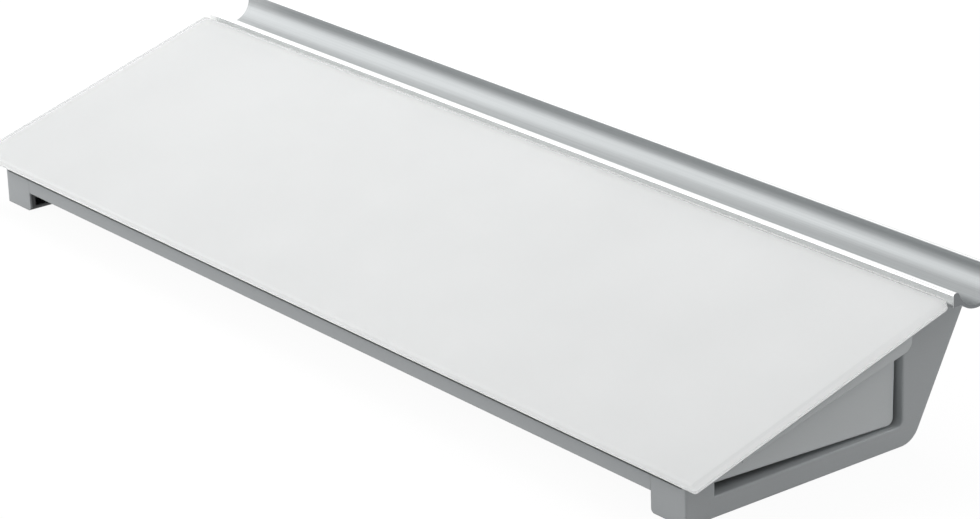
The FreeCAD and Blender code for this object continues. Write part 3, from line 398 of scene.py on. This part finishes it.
bpy.ops.object.modifier_apply(modifier="moulded_edges")
print("drawer front faces:", len(drawer_front.data.polygons))

# %% [markdown]
# Colours are written as the sRGB hex values that an eye or a colour picker sees. Shaders work with linear
# light, so one function turns the hex values to linear. A second small function adds a node to a material,
# gives it its settings and links its inputs, which keeps the node trees below short and readable.


# %% Colour and node helpers
def linear(hex_colour):
    """Linear RGBA from an sRGB hex value."""
    values = [int(hex_colour[i:i + 2], 16) / 255 for i in (0, 2, 4)]
    return [v / 12.92 if v <= 0.04045 else ((v + 0.055) / 1.055) ** 2.4 for v in values] + [1]


def add_node(tree, kind, settings=None, links=None):
    """Add a node, set its properties and inputs by name, and link outputs of other nodes into it."""
    node = tree.nodes.new("ShaderNode" + kind)
    for name, value in (settings or {}).items():
        if isinstance(name, str) and hasattr(node, name):
            setattr(node, name, value)
        else:
            node.inputs[name].default_value = value
    for name, source in (links or {}).items():
        tree.links.new(source, node.inputs[name])
    return node


def new_material(name):
    """An empty material, with its node tree and the object coordinates that its patterns read."""
    material = bpy.data.materials.new(name)
    material.use_nodes = True
    tree = material.node_tree
    tree.nodes.clear()
    place = add_node(tree, "TexCoord").outputs["Object"]
    return material, tree, place


def per_mm(size):
    """Noise scale, in metres, for a grain of that many millimetres."""
    return 1 / (size * MM)


# %% [markdown]
# The body is silver outside. The inner walls, the recesses and the faces behind the front get a dark colour
# instead, which is painted shade. Where that shade is painted is worked out from the place and direction of
# a surface point. A mask painted into a texture would need that texture, and this needs only the sizes of
# the body.

# %% Where the painted shade falls
UNSHADED_DEPTH = 3 * MM
RECESS_SHADE_FADE = 9 * MM
RAIL_UNSHADED_DEPTH = 0.5 * MM
LOOKS_BACK = (0.2, 0.5)

rail_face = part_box("front_rail")[0].y
side_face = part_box("right_end_frame")[1].x


def outside_painted_shade(tree, place):
    """One outside the painted shade: near the two side faces, on the front face and on faces that look back.
    """
    spot = add_node(tree, "SeparateXYZ", links={0: place})
    across = add_node(tree, "Math", {"operation": "ABSOLUTE"}, {0: spot.outputs["X"]})
    side = add_node(tree, "MapRange", {"From Min": side_face - UNSHADED_DEPTH - RECESS_SHADE_FADE,
                                       "From Max": side_face - UNSHADED_DEPTH}, {"Value": across.outputs[0]})
    front = add_node(tree, "MapRange", {"From Min": rail_face + 2 * RAIL_UNSHADED_DEPTH,
                                        "From Max": rail_face + RAIL_UNSHADED_DEPTH}, {"Value": spot.outputs["Y"]})
    facing = add_node(tree, "SeparateXYZ", links={0: add_node(tree, "TexCoord").outputs["Normal"]})
    rear = add_node(tree, "MapRange", {"From Min": LOOKS_BACK[0], "From Max": LOOKS_BACK[1]},
                    {"Value": facing.outputs["Y"]})
    outside = add_node(tree, "Math", {"operation": "MAXIMUM"},
                       {0: side.outputs["Result"], 1: front.outputs["Result"]})
    outside = add_node(tree, "Math", {"operation": "MAXIMUM"},
                       {0: outside.outputs[0], 1: rear.outputs["Result"]})
    return outside.outputs[0]


# Further in than this, the body takes the dark painted shade.
print("paint on the outer", round(UNSHADED_DEPTH / MM, 1), "mm, bare moulding further in")

# %% [markdown]
# Silver paint on moulded ABS. Fine metal flakes in the lacquer make the grey shift a little from point to
# point, and the satin lacquer spreads highlights softly. The real flakes are about 0.05 mm, far below a
# pixel, so they are drawn at 0.35 mm, together with a slow drift of tone over a few centimetres.
# Moulded edges are never sharp. The CAD meshes stay as they are, so a Bevel node rounds the shading there.

# %% Satin silver paint
FLAKE_MM = 0.35
FLAKE_HEIGHT = 0.05 * MM
DRIFT_MM = 45
DRIFT_SHARE = 0.55
TONE_SPAN = (0.45, 1.1)
GLOSS_SPREAD = 0.05
EDGE_RADIUS = 0.7 * MM


def silver_paint(name, pale, deep, roughness, painted_shade=None):
    """Silver lacquer on ABS between two tones, with a dark painted shade on the inner walls if one is given.
    """
    material, tree, place = new_material(name)
    flakes = add_node(tree, "TexNoise", {"Scale": per_mm(FLAKE_MM), "Detail": 2.0}, {"Vector": place})
    drift = add_node(tree, "TexNoise", {"Scale": per_mm(DRIFT_MM), "Detail": 1.0}, {"Vector": place})
    both = add_node(tree, "Math", {"operation": "MULTIPLY_ADD", 1: DRIFT_SHARE},
                    {0: drift.outputs["Fac"], 2: flakes.outputs["Fac"]})
    tone = add_node(tree, "MapRange", {"From Min": TONE_SPAN[0], "From Max": TONE_SPAN[1]},
                    {"Value": both.outputs[0]})
    colour = add_node(tree, "ValToRGB", links={"Fac": tone.outputs["Result"]})
    colour.color_ramp.elements[0].color = linear(deep)
    colour.color_ramp.elements[1].color = linear(pale)
    if painted_shade:
        colour = add_node(tree, "MixRGB", {"Color1": linear(painted_shade)},
                          {"Fac": outside_painted_shade(tree, place), "Color2": colour.outputs["Color"]})
    gloss = add_node(tree, "MapRange", {"To Min": roughness - GLOSS_SPREAD,
                                        "To Max": roughness + GLOSS_SPREAD},
                     {"Value": flakes.outputs["Fac"]})
    edges = add_node(tree, "Bevel", {"samples": 6, "Radius": EDGE_RADIUS})
    grain = add_node(tree, "Bump", {"Strength": 0.06, "Distance": FLAKE_HEIGHT},
                     {"Height": flakes.outputs["Fac"], "Normal": edges.outputs["Normal"]})
    paint = add_node(tree, "BsdfPrincipled", {"IOR": 1.5},
                     {"Base Color": colour.outputs["Color"], "Roughness": gloss.outputs["Result"],
                      "Normal": grain.outputs["Normal"]})
    add_node(tree, "OutputMaterial", links={"Surface": paint.outputs["BSDF"]})
    return material


# The dark 4A4C4E is painted shade on the inner walls and recesses.
body_silver = silver_paint("silver_lacquered_abs", "CACED0", "C1C5C7", 0.42, "4A4C4E")
# The drawer front is a separate moulding, a shade paler. Its silver is lightened further as painted light,
# to make up for the shade under the glass's overhang.
drawer_silver_lightened = silver_paint("silver_lacquered_drawer_abs_lightened", "EAEEEF", "E1E5E6", 0.42)
print("silver lacquers:", body_silver.name, drawer_silver_lightened.name)

# %% [markdown]
# Satin anodised aluminium. The extrusion die leaves faint lines along the length, and the etched surface
# under the oxide spreads reflections, so the trough shows broad soft bands instead of a mirror image.
# The lines are about 0.1 mm wide in reality and are drawn at 0.5 mm so that they show at all.
# The bead and the rear lip have a painted highlight that makes them brighter, and they are also made
# smoother.

# %% Satin anodised aluminium
LINE_MM = 0.5
LINE_STRETCH = 0.004
LINE_HEIGHT = 0.02 * MM
ETCH_MM = 0.3
BEAD_FADE = 0.3 * MM
LIP_FADE = (0.3 * MM, 0.1 * MM)
HIGHLIGHT_ROUGHNESS_DROP = 0.14

tray_metal, tree, place = new_material("satin_anodised_aluminium")
along = add_node(tree, "Mapping", {"Scale": (LINE_STRETCH, 1, 1)}, {"Vector": place})
lines = add_node(tree, "TexNoise", {"Scale": per_mm(LINE_MM), "Detail": 3.0},
                 {"Vector": along.outputs["Vector"]})
etch = add_node(tree, "TexNoise", {"Scale": per_mm(ETCH_MM), "Detail": 2.0}, {"Vector": place})
spot = add_node(tree, "SeparateXYZ", links={0: place})
on_bead = add_node(tree, "MapRange", {"From Min": bead_rear.y + BEAD_FADE, "From Max": bead_rear.y},
                   {"Value": spot.outputs["Y"]})
on_lip = add_node(tree, "MapRange", {"From Min": tray_high.z - LIP_FADE[0],
                                     "From Max": tray_high.z - LIP_FADE[1]}, {"Value": spot.outputs["Z"]})
bead_and_lip_highlight = add_node(tree, "Math", {"operation": "MAXIMUM"},
                  {0: on_bead.outputs["Result"], 1: on_lip.outputs["Result"]})
colour = add_node(tree, "ValToRGB", links={"Fac": lines.outputs["Fac"]})
colour.color_ramp.elements[0].color = linear("ABAEAF")
colour.color_ramp.elements[0].position = 0.3
colour.color_ramp.elements[1].color = linear("B5B8B9")
colour.color_ramp.elements[1].position = 0.7
# Painted highlight: the bead and the rear lip are mixed towards near white.
colour = add_node(tree, "MixRGB", {"Color2": linear("F2F3F3")},
                  {"Fac": bead_and_lip_highlight.outputs[0], "Color1": colour.outputs["Color"]})
satin = add_node(tree, "MapRange", {"To Min": 0.38, "To Max": 0.46}, {"Value": etch.outputs["Fac"]})
# The highlighted bead and lip are also less rough.
gloss = add_node(tree, "Math", {"operation": "MULTIPLY_ADD", 1: -HIGHLIGHT_ROUGHNESS_DROP},
                 {0: bead_and_lip_highlight.outputs[0], 2: satin.outputs["Result"]})
ridges = add_node(tree, "Bump", {"Strength": 0.08, "Distance": LINE_HEIGHT},
                  {"Height": lines.outputs["Fac"]})
metal = add_node(tree, "BsdfPrincipled", {"Metallic": 1.0},
                 {"Base Color": colour.outputs["Color"], "Roughness": gloss.outputs[0],
                  "Normal": ridges.outputs["Normal"]})
add_node(tree, "OutputMaterial", links={"Surface": metal.outputs["BSDF"]})
print("tray metal:", tray_metal.name)

# %% [markdown]
# The glass is clear float glass, nearly a mirror, with the faint haze that wiping leaves. The white of the
# board is an enamel coat on the underside, seen through the glass. The glass lets the lamps through, so the
# coat is lit as if the glass weren't there, and it takes up a little light on the long way in from an edge.

# %% Float glass
GLASS_IOR = 1.5
HAZE_MM = 30
LOSS_PER_M = 20.0

clear_glass, tree, place = new_material("polished_float_glass")
haze = add_node(tree, "TexNoise", {"Scale": per_mm(HAZE_MM), "Detail": 3.0}, {"Vector": place})
gloss = add_node(tree, "MapRange", {"To Min": 0.02, "To Max": 0.06}, {"Value": haze.outputs["Fac"]})
tint = add_node(tree, "ValToRGB", links={"Fac": haze.outputs["Fac"]})
tint.color_ramp.elements[0].color = linear("F8F9F9")
tint.color_ramp.elements[1].color = linear("FDFDFD")
body = add_node(tree, "BsdfPrincipled", {"IOR": GLASS_IOR, "Transmission Weight": 1.0},
                {"Base Color": tint.outputs["Color"], "Roughness": gloss.outputs["Result"]})
depth = add_node(tree, "VolumeAbsorption", {"Color": linear("D8DCDB"), "Density": LOSS_PER_M})
add_node(tree, "OutputMaterial",
         links={"Surface": body.outputs["BSDF"], "Volume": depth.outputs["Volume"]})
print("glass:", clear_glass.name)

# %% [markdown]
# The belt that seams the edges leaves a fine matte band low on them, mottled where the rest is clear. It is
# part glass, part white scatter. The enamel is rolled on and fired, which leaves very slow waves of tone.

# %% Ground edge and white enamel
GRIT_MM = 0.6
ROLL_MM = 60

ground_glass, tree, place = new_material("belt_ground_glass")
grit = add_node(tree, "TexNoise", {"Scale": per_mm(GRIT_MM), "Detail": 2.0}, {"Vector": place})
colour = add_node(tree, "ValToRGB", links={"Fac": grit.outputs["Fac"]})
colour.color_ramp.elements[0].color = linear("DFE1E1")
colour.color_ramp.elements[1].color = linear("ECEEEE")
gloss = add_node(tree, "MapRange", {"To Min": 0.4, "To Max": 0.55}, {"Value": grit.outputs["Fac"]})
frost = add_node(tree, "BsdfPrincipled", {"IOR": GLASS_IOR, "Transmission Weight": 0.55},
                 {"Base Color": colour.outputs["Color"], "Roughness": gloss.outputs["Result"]})
add_node(tree, "OutputMaterial", links={"Surface": frost.outputs["BSDF"]})

white_enamel, tree, place = new_material("white_back_enamel")
roll = add_node(tree, "TexNoise", {"Scale": per_mm(ROLL_MM), "Detail": 2.0}, {"Vector": place})
colour = add_node(tree, "ValToRGB", links={"Fac": roll.outputs["Fac"]})
colour.color_ramp.elements[0].color = linear("F0F1F1")
colour.color_ramp.elements[1].color = linear("F6F7F7")
enamel = add_node(tree, "BsdfPrincipled", {"Roughness": 0.5},
                  {"Base Color": colour.outputs["Color"]})
add_node(tree, "OutputMaterial", links={"Surface": enamel.outputs["BSDF"]})
print("ground edge and coat:", ground_glass.name, white_enamel.name)

# %% [markdown]
# The inside of the body and the small fittings are plain moulded plastic, rubber, foam and zinc-plated
# steel. The dark inner plastic is near black, partly as painted shade for the hollow under the board. Each
# has a fine grain of its own: moulded plastic shows a spark-eroded texture, foam its cells, and plated
# screws a slight mottle. The tray's cut ends are aluminium as the saw left it, darker than the tray as
# painted shade. One function holds what these finishes share.

# %% Plain plastics, rubber, foam, plated steel and sawn aluminium
GRAIN_SPREAD = 0.08


def grained(name, pale, deep, roughness, grain_mm, height_mm, metallic=0.0):
    """A finish with an even grain of a given width and height."""
    material, tree, place = new_material(name)
    grain = add_node(tree, "TexNoise", {"Scale": per_mm(grain_mm), "Detail": 3.0}, {"Vector": place})
    colour = add_node(tree, "ValToRGB", links={"Fac": grain.outputs["Fac"]})
    colour.color_ramp.elements[0].color = linear(deep)
    colour.color_ramp.elements[1].color = linear(pale)
    gloss = add_node(tree, "MapRange", {"To Min": roughness - GRAIN_SPREAD,
                                        "To Max": roughness + GRAIN_SPREAD}, {"Value": grain.outputs["Fac"]})
    relief = add_node(tree, "Bump", {"Strength": 0.3, "Distance": height_mm * MM},
                      {"Height": grain.outputs["Fac"]})
    surface = add_node(tree, "BsdfPrincipled", {"Metallic": metallic},
                       {"Base Color": colour.outputs["Color"], "Roughness": gloss.outputs["Result"],
                        "Normal": relief.outputs["Normal"]})
    add_node(tree, "OutputMaterial", links={"Surface": surface.outputs["BSDF"]})
    return material


# Each line gives the pale and deep tones, the roughness, and the grain's width and height in millimetres.
# Near black, partly as painted shade in the hollow under the board.
dark_abs_and_shade = grained("spark_eroded_dark_abs_and_shade", "26282A", "1B1D1F", 0.6, 0.6, 0.03)
drawer_abs = grained("moulded_grey_abs", "9EA2A4", "909496", 0.5, 0.6, 0.02)
zinc_steel = grained("zinc_plated_steel", "C9CBCC", "AEB1B3", 0.3, 0.8, 0.01, 1.0)
rubber = grained("moulded_black_rubber", "232323", "171717", 0.8, 0.5, 0.03)
foam = grained("white_foam_tape", "DADAD8", "C2C2C0", 0.85, 0.7, 0.08)
# Darker than the tray: painted shade on the tray's cut ends.
sawn_aluminium_and_shade = grained("sawn_aluminium_and_shade", "8C8F91", "7A7D7F", 0.55, 0.4, 0.03, 1.0)
plain = [dark_abs_and_shade, drawer_abs, zinc_steel, rubber, foam, sawn_aluminium_and_shade]
print("plain finishes:", [finish.name for finish in plain])

# %% [markdown]
# Each CAD node keeps its shape and gets its finish here. The body's outer shells are silver, the deck, base
# and runners inside are dark, partly as painted shade, and the fasteners are plated steel. The ground band
# is kept to the front and right edges, which are seen from outside. On the other two it would only show
# through the glass.

# %% Finishes for the CAD nodes
FINISH_OF_SLOT = {
    "clear_glass": clear_glass, "white_coat": white_enamel, "foam_tape": foam,
    "silver_plastic": body_silver, "tray_aluminium": tray_metal, "dark_plastic": dark_abs_and_shade,
    "drawer_plastic": drawer_abs, "screw_steel": zinc_steel, "pad_rubber": rubber,
}
BAND_TOLERANCE = 0.2 * MM
UPRIGHT = 0.1
FACING = 0.5
ARRIS_SLOPE = (0.3, 0.95)


def dress(piece, material, second=None, wanted=None):
    """Give a piece one finish all over, and a second one to the faces that pass a test."""
    piece.data.materials.clear()
    piece.data.materials.append(material)
    if second:
        piece.data.materials.append(second)
        for face in piece.data.polygons:
            face.material_index = int(wanted(face))


def on_seamed_edge(face):
    """True on the lower arris and the low band of the front and right edges."""
    upward = face.normal.dot(slope_up)
    in_band = abs(face.center.dot(slope_up) - band_level) < BAND_TOLERANCE and abs(upward) < UPRIGHT
    on_lower_arris = ARRIS_SLOPE[0] < -upward < ARRIS_SLOPE[1]
    return (face.normal.x > FACING or face.normal.y < -FACING) and (in_band or on_lower_arris)


for part in frame["record"]["subparts"]:
    dress(nodes[part["node"]], FINISH_OF_SLOT[part["material_slot"]])
dress(glass, clear_glass, ground_glass, on_seamed_edge)
dress(coat, white_enamel)
# The cut ends take the darker aluminium, which is painted shade.
dress(tray, tray_metal, sawn_aluminium_and_shade, lambda face: abs(face.normal.x) > MOSTLY)
dress(drawer_front, drawer_silver_lightened)
# The coat gets the lamps' light as if the glass weren't there.
glass.visible_shadow = False
glass.visible_diffuse = False

# %% [markdown]
# Each new piece now stands for its CAD node: it hides the node and moves with the node's body.

# %% Tie the new pieces to the frame
for piece, node, body, slot in [
    (glass, "glass_panel", "board", "clear_glass"),
    (coat, "backing_film", "board", "white_coat"),
    (tray, "tray_profile", "board", "tray_aluminium"),
    (drawer_front, "drawer_front", "drawer", "silver_plastic"),
]:
    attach(piece, body)
    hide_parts(node)
    print(piece.name, "stands for", node, "and moves with", body)

# %% [markdown]
# A white studio: the floor is seen as white, but a small share of what is seen is a plain matte surface, so
# that the board keeps a faint shadow. To the light that bounces, the floor is a mid grey, which keeps the
# low sides of the board darker than its top.

# %% Floor
SEEN_MATTE_SHARE = 0.05
FLOOR_SIZE = 12

clear_selection()
bpy.ops.mesh.primitive_plane_add(size=FLOOR_SIZE)
floor = bpy.context.active_object
floor.name = "studio_floor"
floor_white, tree, _ = new_material("studio_floor_white")
ray = add_node(tree, "LightPath")
seen = add_node(tree, "Math", {"operation": "MAXIMUM"},
                {0: ray.outputs["Is Camera Ray"], 1: ray.outputs["Is Glossy Ray"]})
seen = add_node(tree, "Math", {"operation": "MAXIMUM"},
                {0: seen.outputs[0], 1: ray.outputs["Is Transmission Ray"]})
white = add_node(tree, "Emission", {"Color": (1, 1, 1, 1), "Strength": 1.0})
matte = add_node(tree, "BsdfDiffuse", {"Color": (1, 1, 1, 1)})
sweep = add_node(tree, "MixShader", {0: SEEN_MATTE_SHARE}, {1: white.outputs[0], 2: matte.outputs[0]})
grey = add_node(tree, "BsdfDiffuse", {"Color": linear("848484")})
mix = add_node(tree, "MixShader", links={0: seen.outputs[0], 1: grey.outputs[0], 2: sweep.outputs[0]})
add_node(tree, "OutputMaterial", links={"Surface": mix.outputs[0]})
dress(floor, floor_white)
print("floor:", floor.name, "matte share", SEEN_MATTE_SHARE)

# %% [markdown]
# The world is white to the camera. To everything else it is a pale room that gets darker towards the right,
# with a white sheet low behind the board, a large soft window at the upper left, where the glass mirrors it,
# and a small skylight high behind to the right. The window and the skylight are round patches: the nearer a
# direction is to the middle of one, the brighter it is.

# %% World
ROOM_GREY = 0.6
WINDOW_LIGHT = 1.3
WINDOW_WAY = (-0.742, 0.28, 0.609)
WINDOW_EDGE = (0.88, 0.97)
SKYLIGHT = 1.4
SKYLIGHT_WAY = (0.34, 0.566, 0.751)
SKYLIGHT_EDGE = (0.92, 0.98)
SHEET_DEPTH = (0.1, 0.5)
SHEET_TOP = (0.18, 0.4)
SHADE_SPAN = (-0.5, 0.7)
SHADE_LEFT = 1.05
SHADE_RIGHT = 0.72

world = bpy.data.worlds.new("studio_room")
bpy.context.scene.world = world
world.use_nodes = True
tree = world.node_tree
tree.nodes.clear()
sky = add_node(tree, "TexCoord").outputs["Generated"]
way = add_node(tree, "SeparateXYZ", links={0: sky})
behind = add_node(tree, "MapRange", {"From Min": SHEET_DEPTH[0], "From Max": SHEET_DEPTH[1]},
                  {"Value": way.outputs["Y"]})
low = add_node(tree, "MapRange", {"From Min": SHEET_TOP[0], "From Max": SHEET_TOP[1],
                                  "To Min": 1.0, "To Max": 0.0}, {"Value": way.outputs["Z"]})
sheet = add_node(tree, "Math", {"operation": "MULTIPLY"},
                 {0: behind.outputs["Result"], 1: low.outputs["Result"]})
ray = add_node(tree, "LightPath")
white_share = add_node(tree, "Math", {"operation": "MAXIMUM"},
                       {0: sheet.outputs[0], 1: ray.outputs["Is Camera Ray"]})
nearness = add_node(tree, "VectorMath", {"operation": "DOT_PRODUCT", 1: WINDOW_WAY}, {0: sky})
window = add_node(tree, "MapRange", {"interpolation_type": "SMOOTHSTEP", "From Min": WINDOW_EDGE[0],
                                     "From Max": WINDOW_EDGE[1], "To Min": ROOM_GREY,
                                     "To Max": WINDOW_LIGHT}, {"Value": nearness.outputs["Value"]})
nearness = add_node(tree, "VectorMath", {"operation": "DOT_PRODUCT", 1: SKYLIGHT_WAY}, {0: sky})
skylight = add_node(tree, "MapRange", {"interpolation_type": "SMOOTHSTEP", "From Min": SKYLIGHT_EDGE[0],
                                       "From Max": SKYLIGHT_EDGE[1], "To Max": SKYLIGHT},
                    {"Value": nearness.outputs["Value"]})
level = add_node(tree, "Math", {"operation": "ADD"},
                 {0: window.outputs["Result"], 1: skylight.outputs["Result"]})
shade = add_node(tree, "MapRange", {"From Min": SHADE_SPAN[0], "From Max": SHADE_SPAN[1],
                                    "To Min": SHADE_LEFT, "To Max": SHADE_RIGHT},
                 {"Value": way.outputs["X"]})
level = add_node(tree, "Math", {"operation": "MULTIPLY"},
                 {0: level.outputs[0], 1: shade.outputs["Result"]})
room = add_node(tree, "Background", {"Color": (1, 1, 1, 1)}, {"Strength": level.outputs[0]})
white = add_node(tree, "Background", {"Color": (1, 1, 1, 1), "Strength": 1.0})
mix = add_node(tree, "MixShader",
               links={0: white_share.outputs[0], 1: room.outputs[0], 2: white.outputs[0]})
add_node(tree, "OutputWorld", links={"Surface": mix.outputs[0]})
print("room level", ROOM_GREY, "window", WINDOW_LIGHT, "skylight", SKYLIGHT)

# %% [markdown]
# Three soft lamps. The large one at the front left lights the rail and the feet and makes the bright band in
# the trough. The one behind at the left throws the faint shadow to the front right. The small one over the
# tray lifts its left part and that of the glass. The last two are kept out of reflections, so that the
# trough shows one band only.


# %% Lamps
def softbox(name, place, aim, width, height, watts):
    """A rectangular area lamp that looks at a point."""
    lamp = bpy.data.lights.new(name, "AREA")
    lamp.shape = "RECTANGLE"
    lamp.size = width
    lamp.size_y = height
    lamp.energy = watts
    holder = bpy.data.objects.new(name, lamp)
    bpy.context.scene.collection.objects.link(holder)
    holder.location = place
    holder.rotation_euler = (Vector(aim) - Vector(place)).to_track_quat("-Z", "Y").to_euler()
    return holder


softbox("softbox_front_left", place=(-1.1, -0.78, 0.69), aim=(0, 0, 0.03),
        width=1.8, height=1.1, watts=8.5)
behind_left = softbox("softbox_behind_left", place=(-0.4, 0.55, 0.6), aim=(0, 0, 0.03),
                      width=0.7, height=0.5, watts=2.5)
over_the_tray = softbox("softbox_over_the_tray", place=(-0.25, 0.2, 0.6), aim=(-0.2, 0.05, 0.03),
                        width=0.35, height=0.35, watts=2.0)
behind_left.visible_glossy = False
over_the_tray.visible_glossy = False

# %% [markdown]
# The camera stands to the right of the board and above it, with a long lens. Its place, direction and
# slight roll were worked out from the edges of the object in the photograph.

# %% Camera
CAMERA_PLACE = Vector((1.04489, -0.77391, 0.51548))
CAMERA_FORWARD = Vector((-0.74237, 0.56649, -0.35774))
CAMERA_ROLL = math.radians(-2.006)
LENS_MM = 131.96
SENSOR_MM = 36
NEAR_CLIP = 0.01

level_right = CAMERA_FORWARD.cross(Vector((0, 0, 1))).normalized()
level_up = level_right.cross(CAMERA_FORWARD)
right = level_right * math.cos(CAMERA_ROLL) + level_up * math.sin(CAMERA_ROLL)
up = level_up * math.cos(CAMERA_ROLL) - level_right * math.sin(CAMERA_ROLL)
turn = Matrix((right, up, -CAMERA_FORWARD)).transposed().to_4x4()
camera_data = bpy.data.cameras.new("photo_camera")
camera_data.lens = LENS_MM
camera_data.sensor_width = SENSOR_MM
camera_data.sensor_fit = "HORIZONTAL"
camera_data.clip_start = NEAR_CLIP
camera = bpy.data.objects.new("photo_camera", camera_data)
bpy.context.scene.collection.objects.link(camera)
camera.matrix_world = Matrix.Translation(CAMERA_PLACE) @ turn
bpy.context.scene.camera = camera
bpy.context.scene.view_settings.view_transform = "Standard"
print("lens", LENS_MM, "mm, camera", round(CAMERA_PLACE.length, 2), "m from the middle of the board")
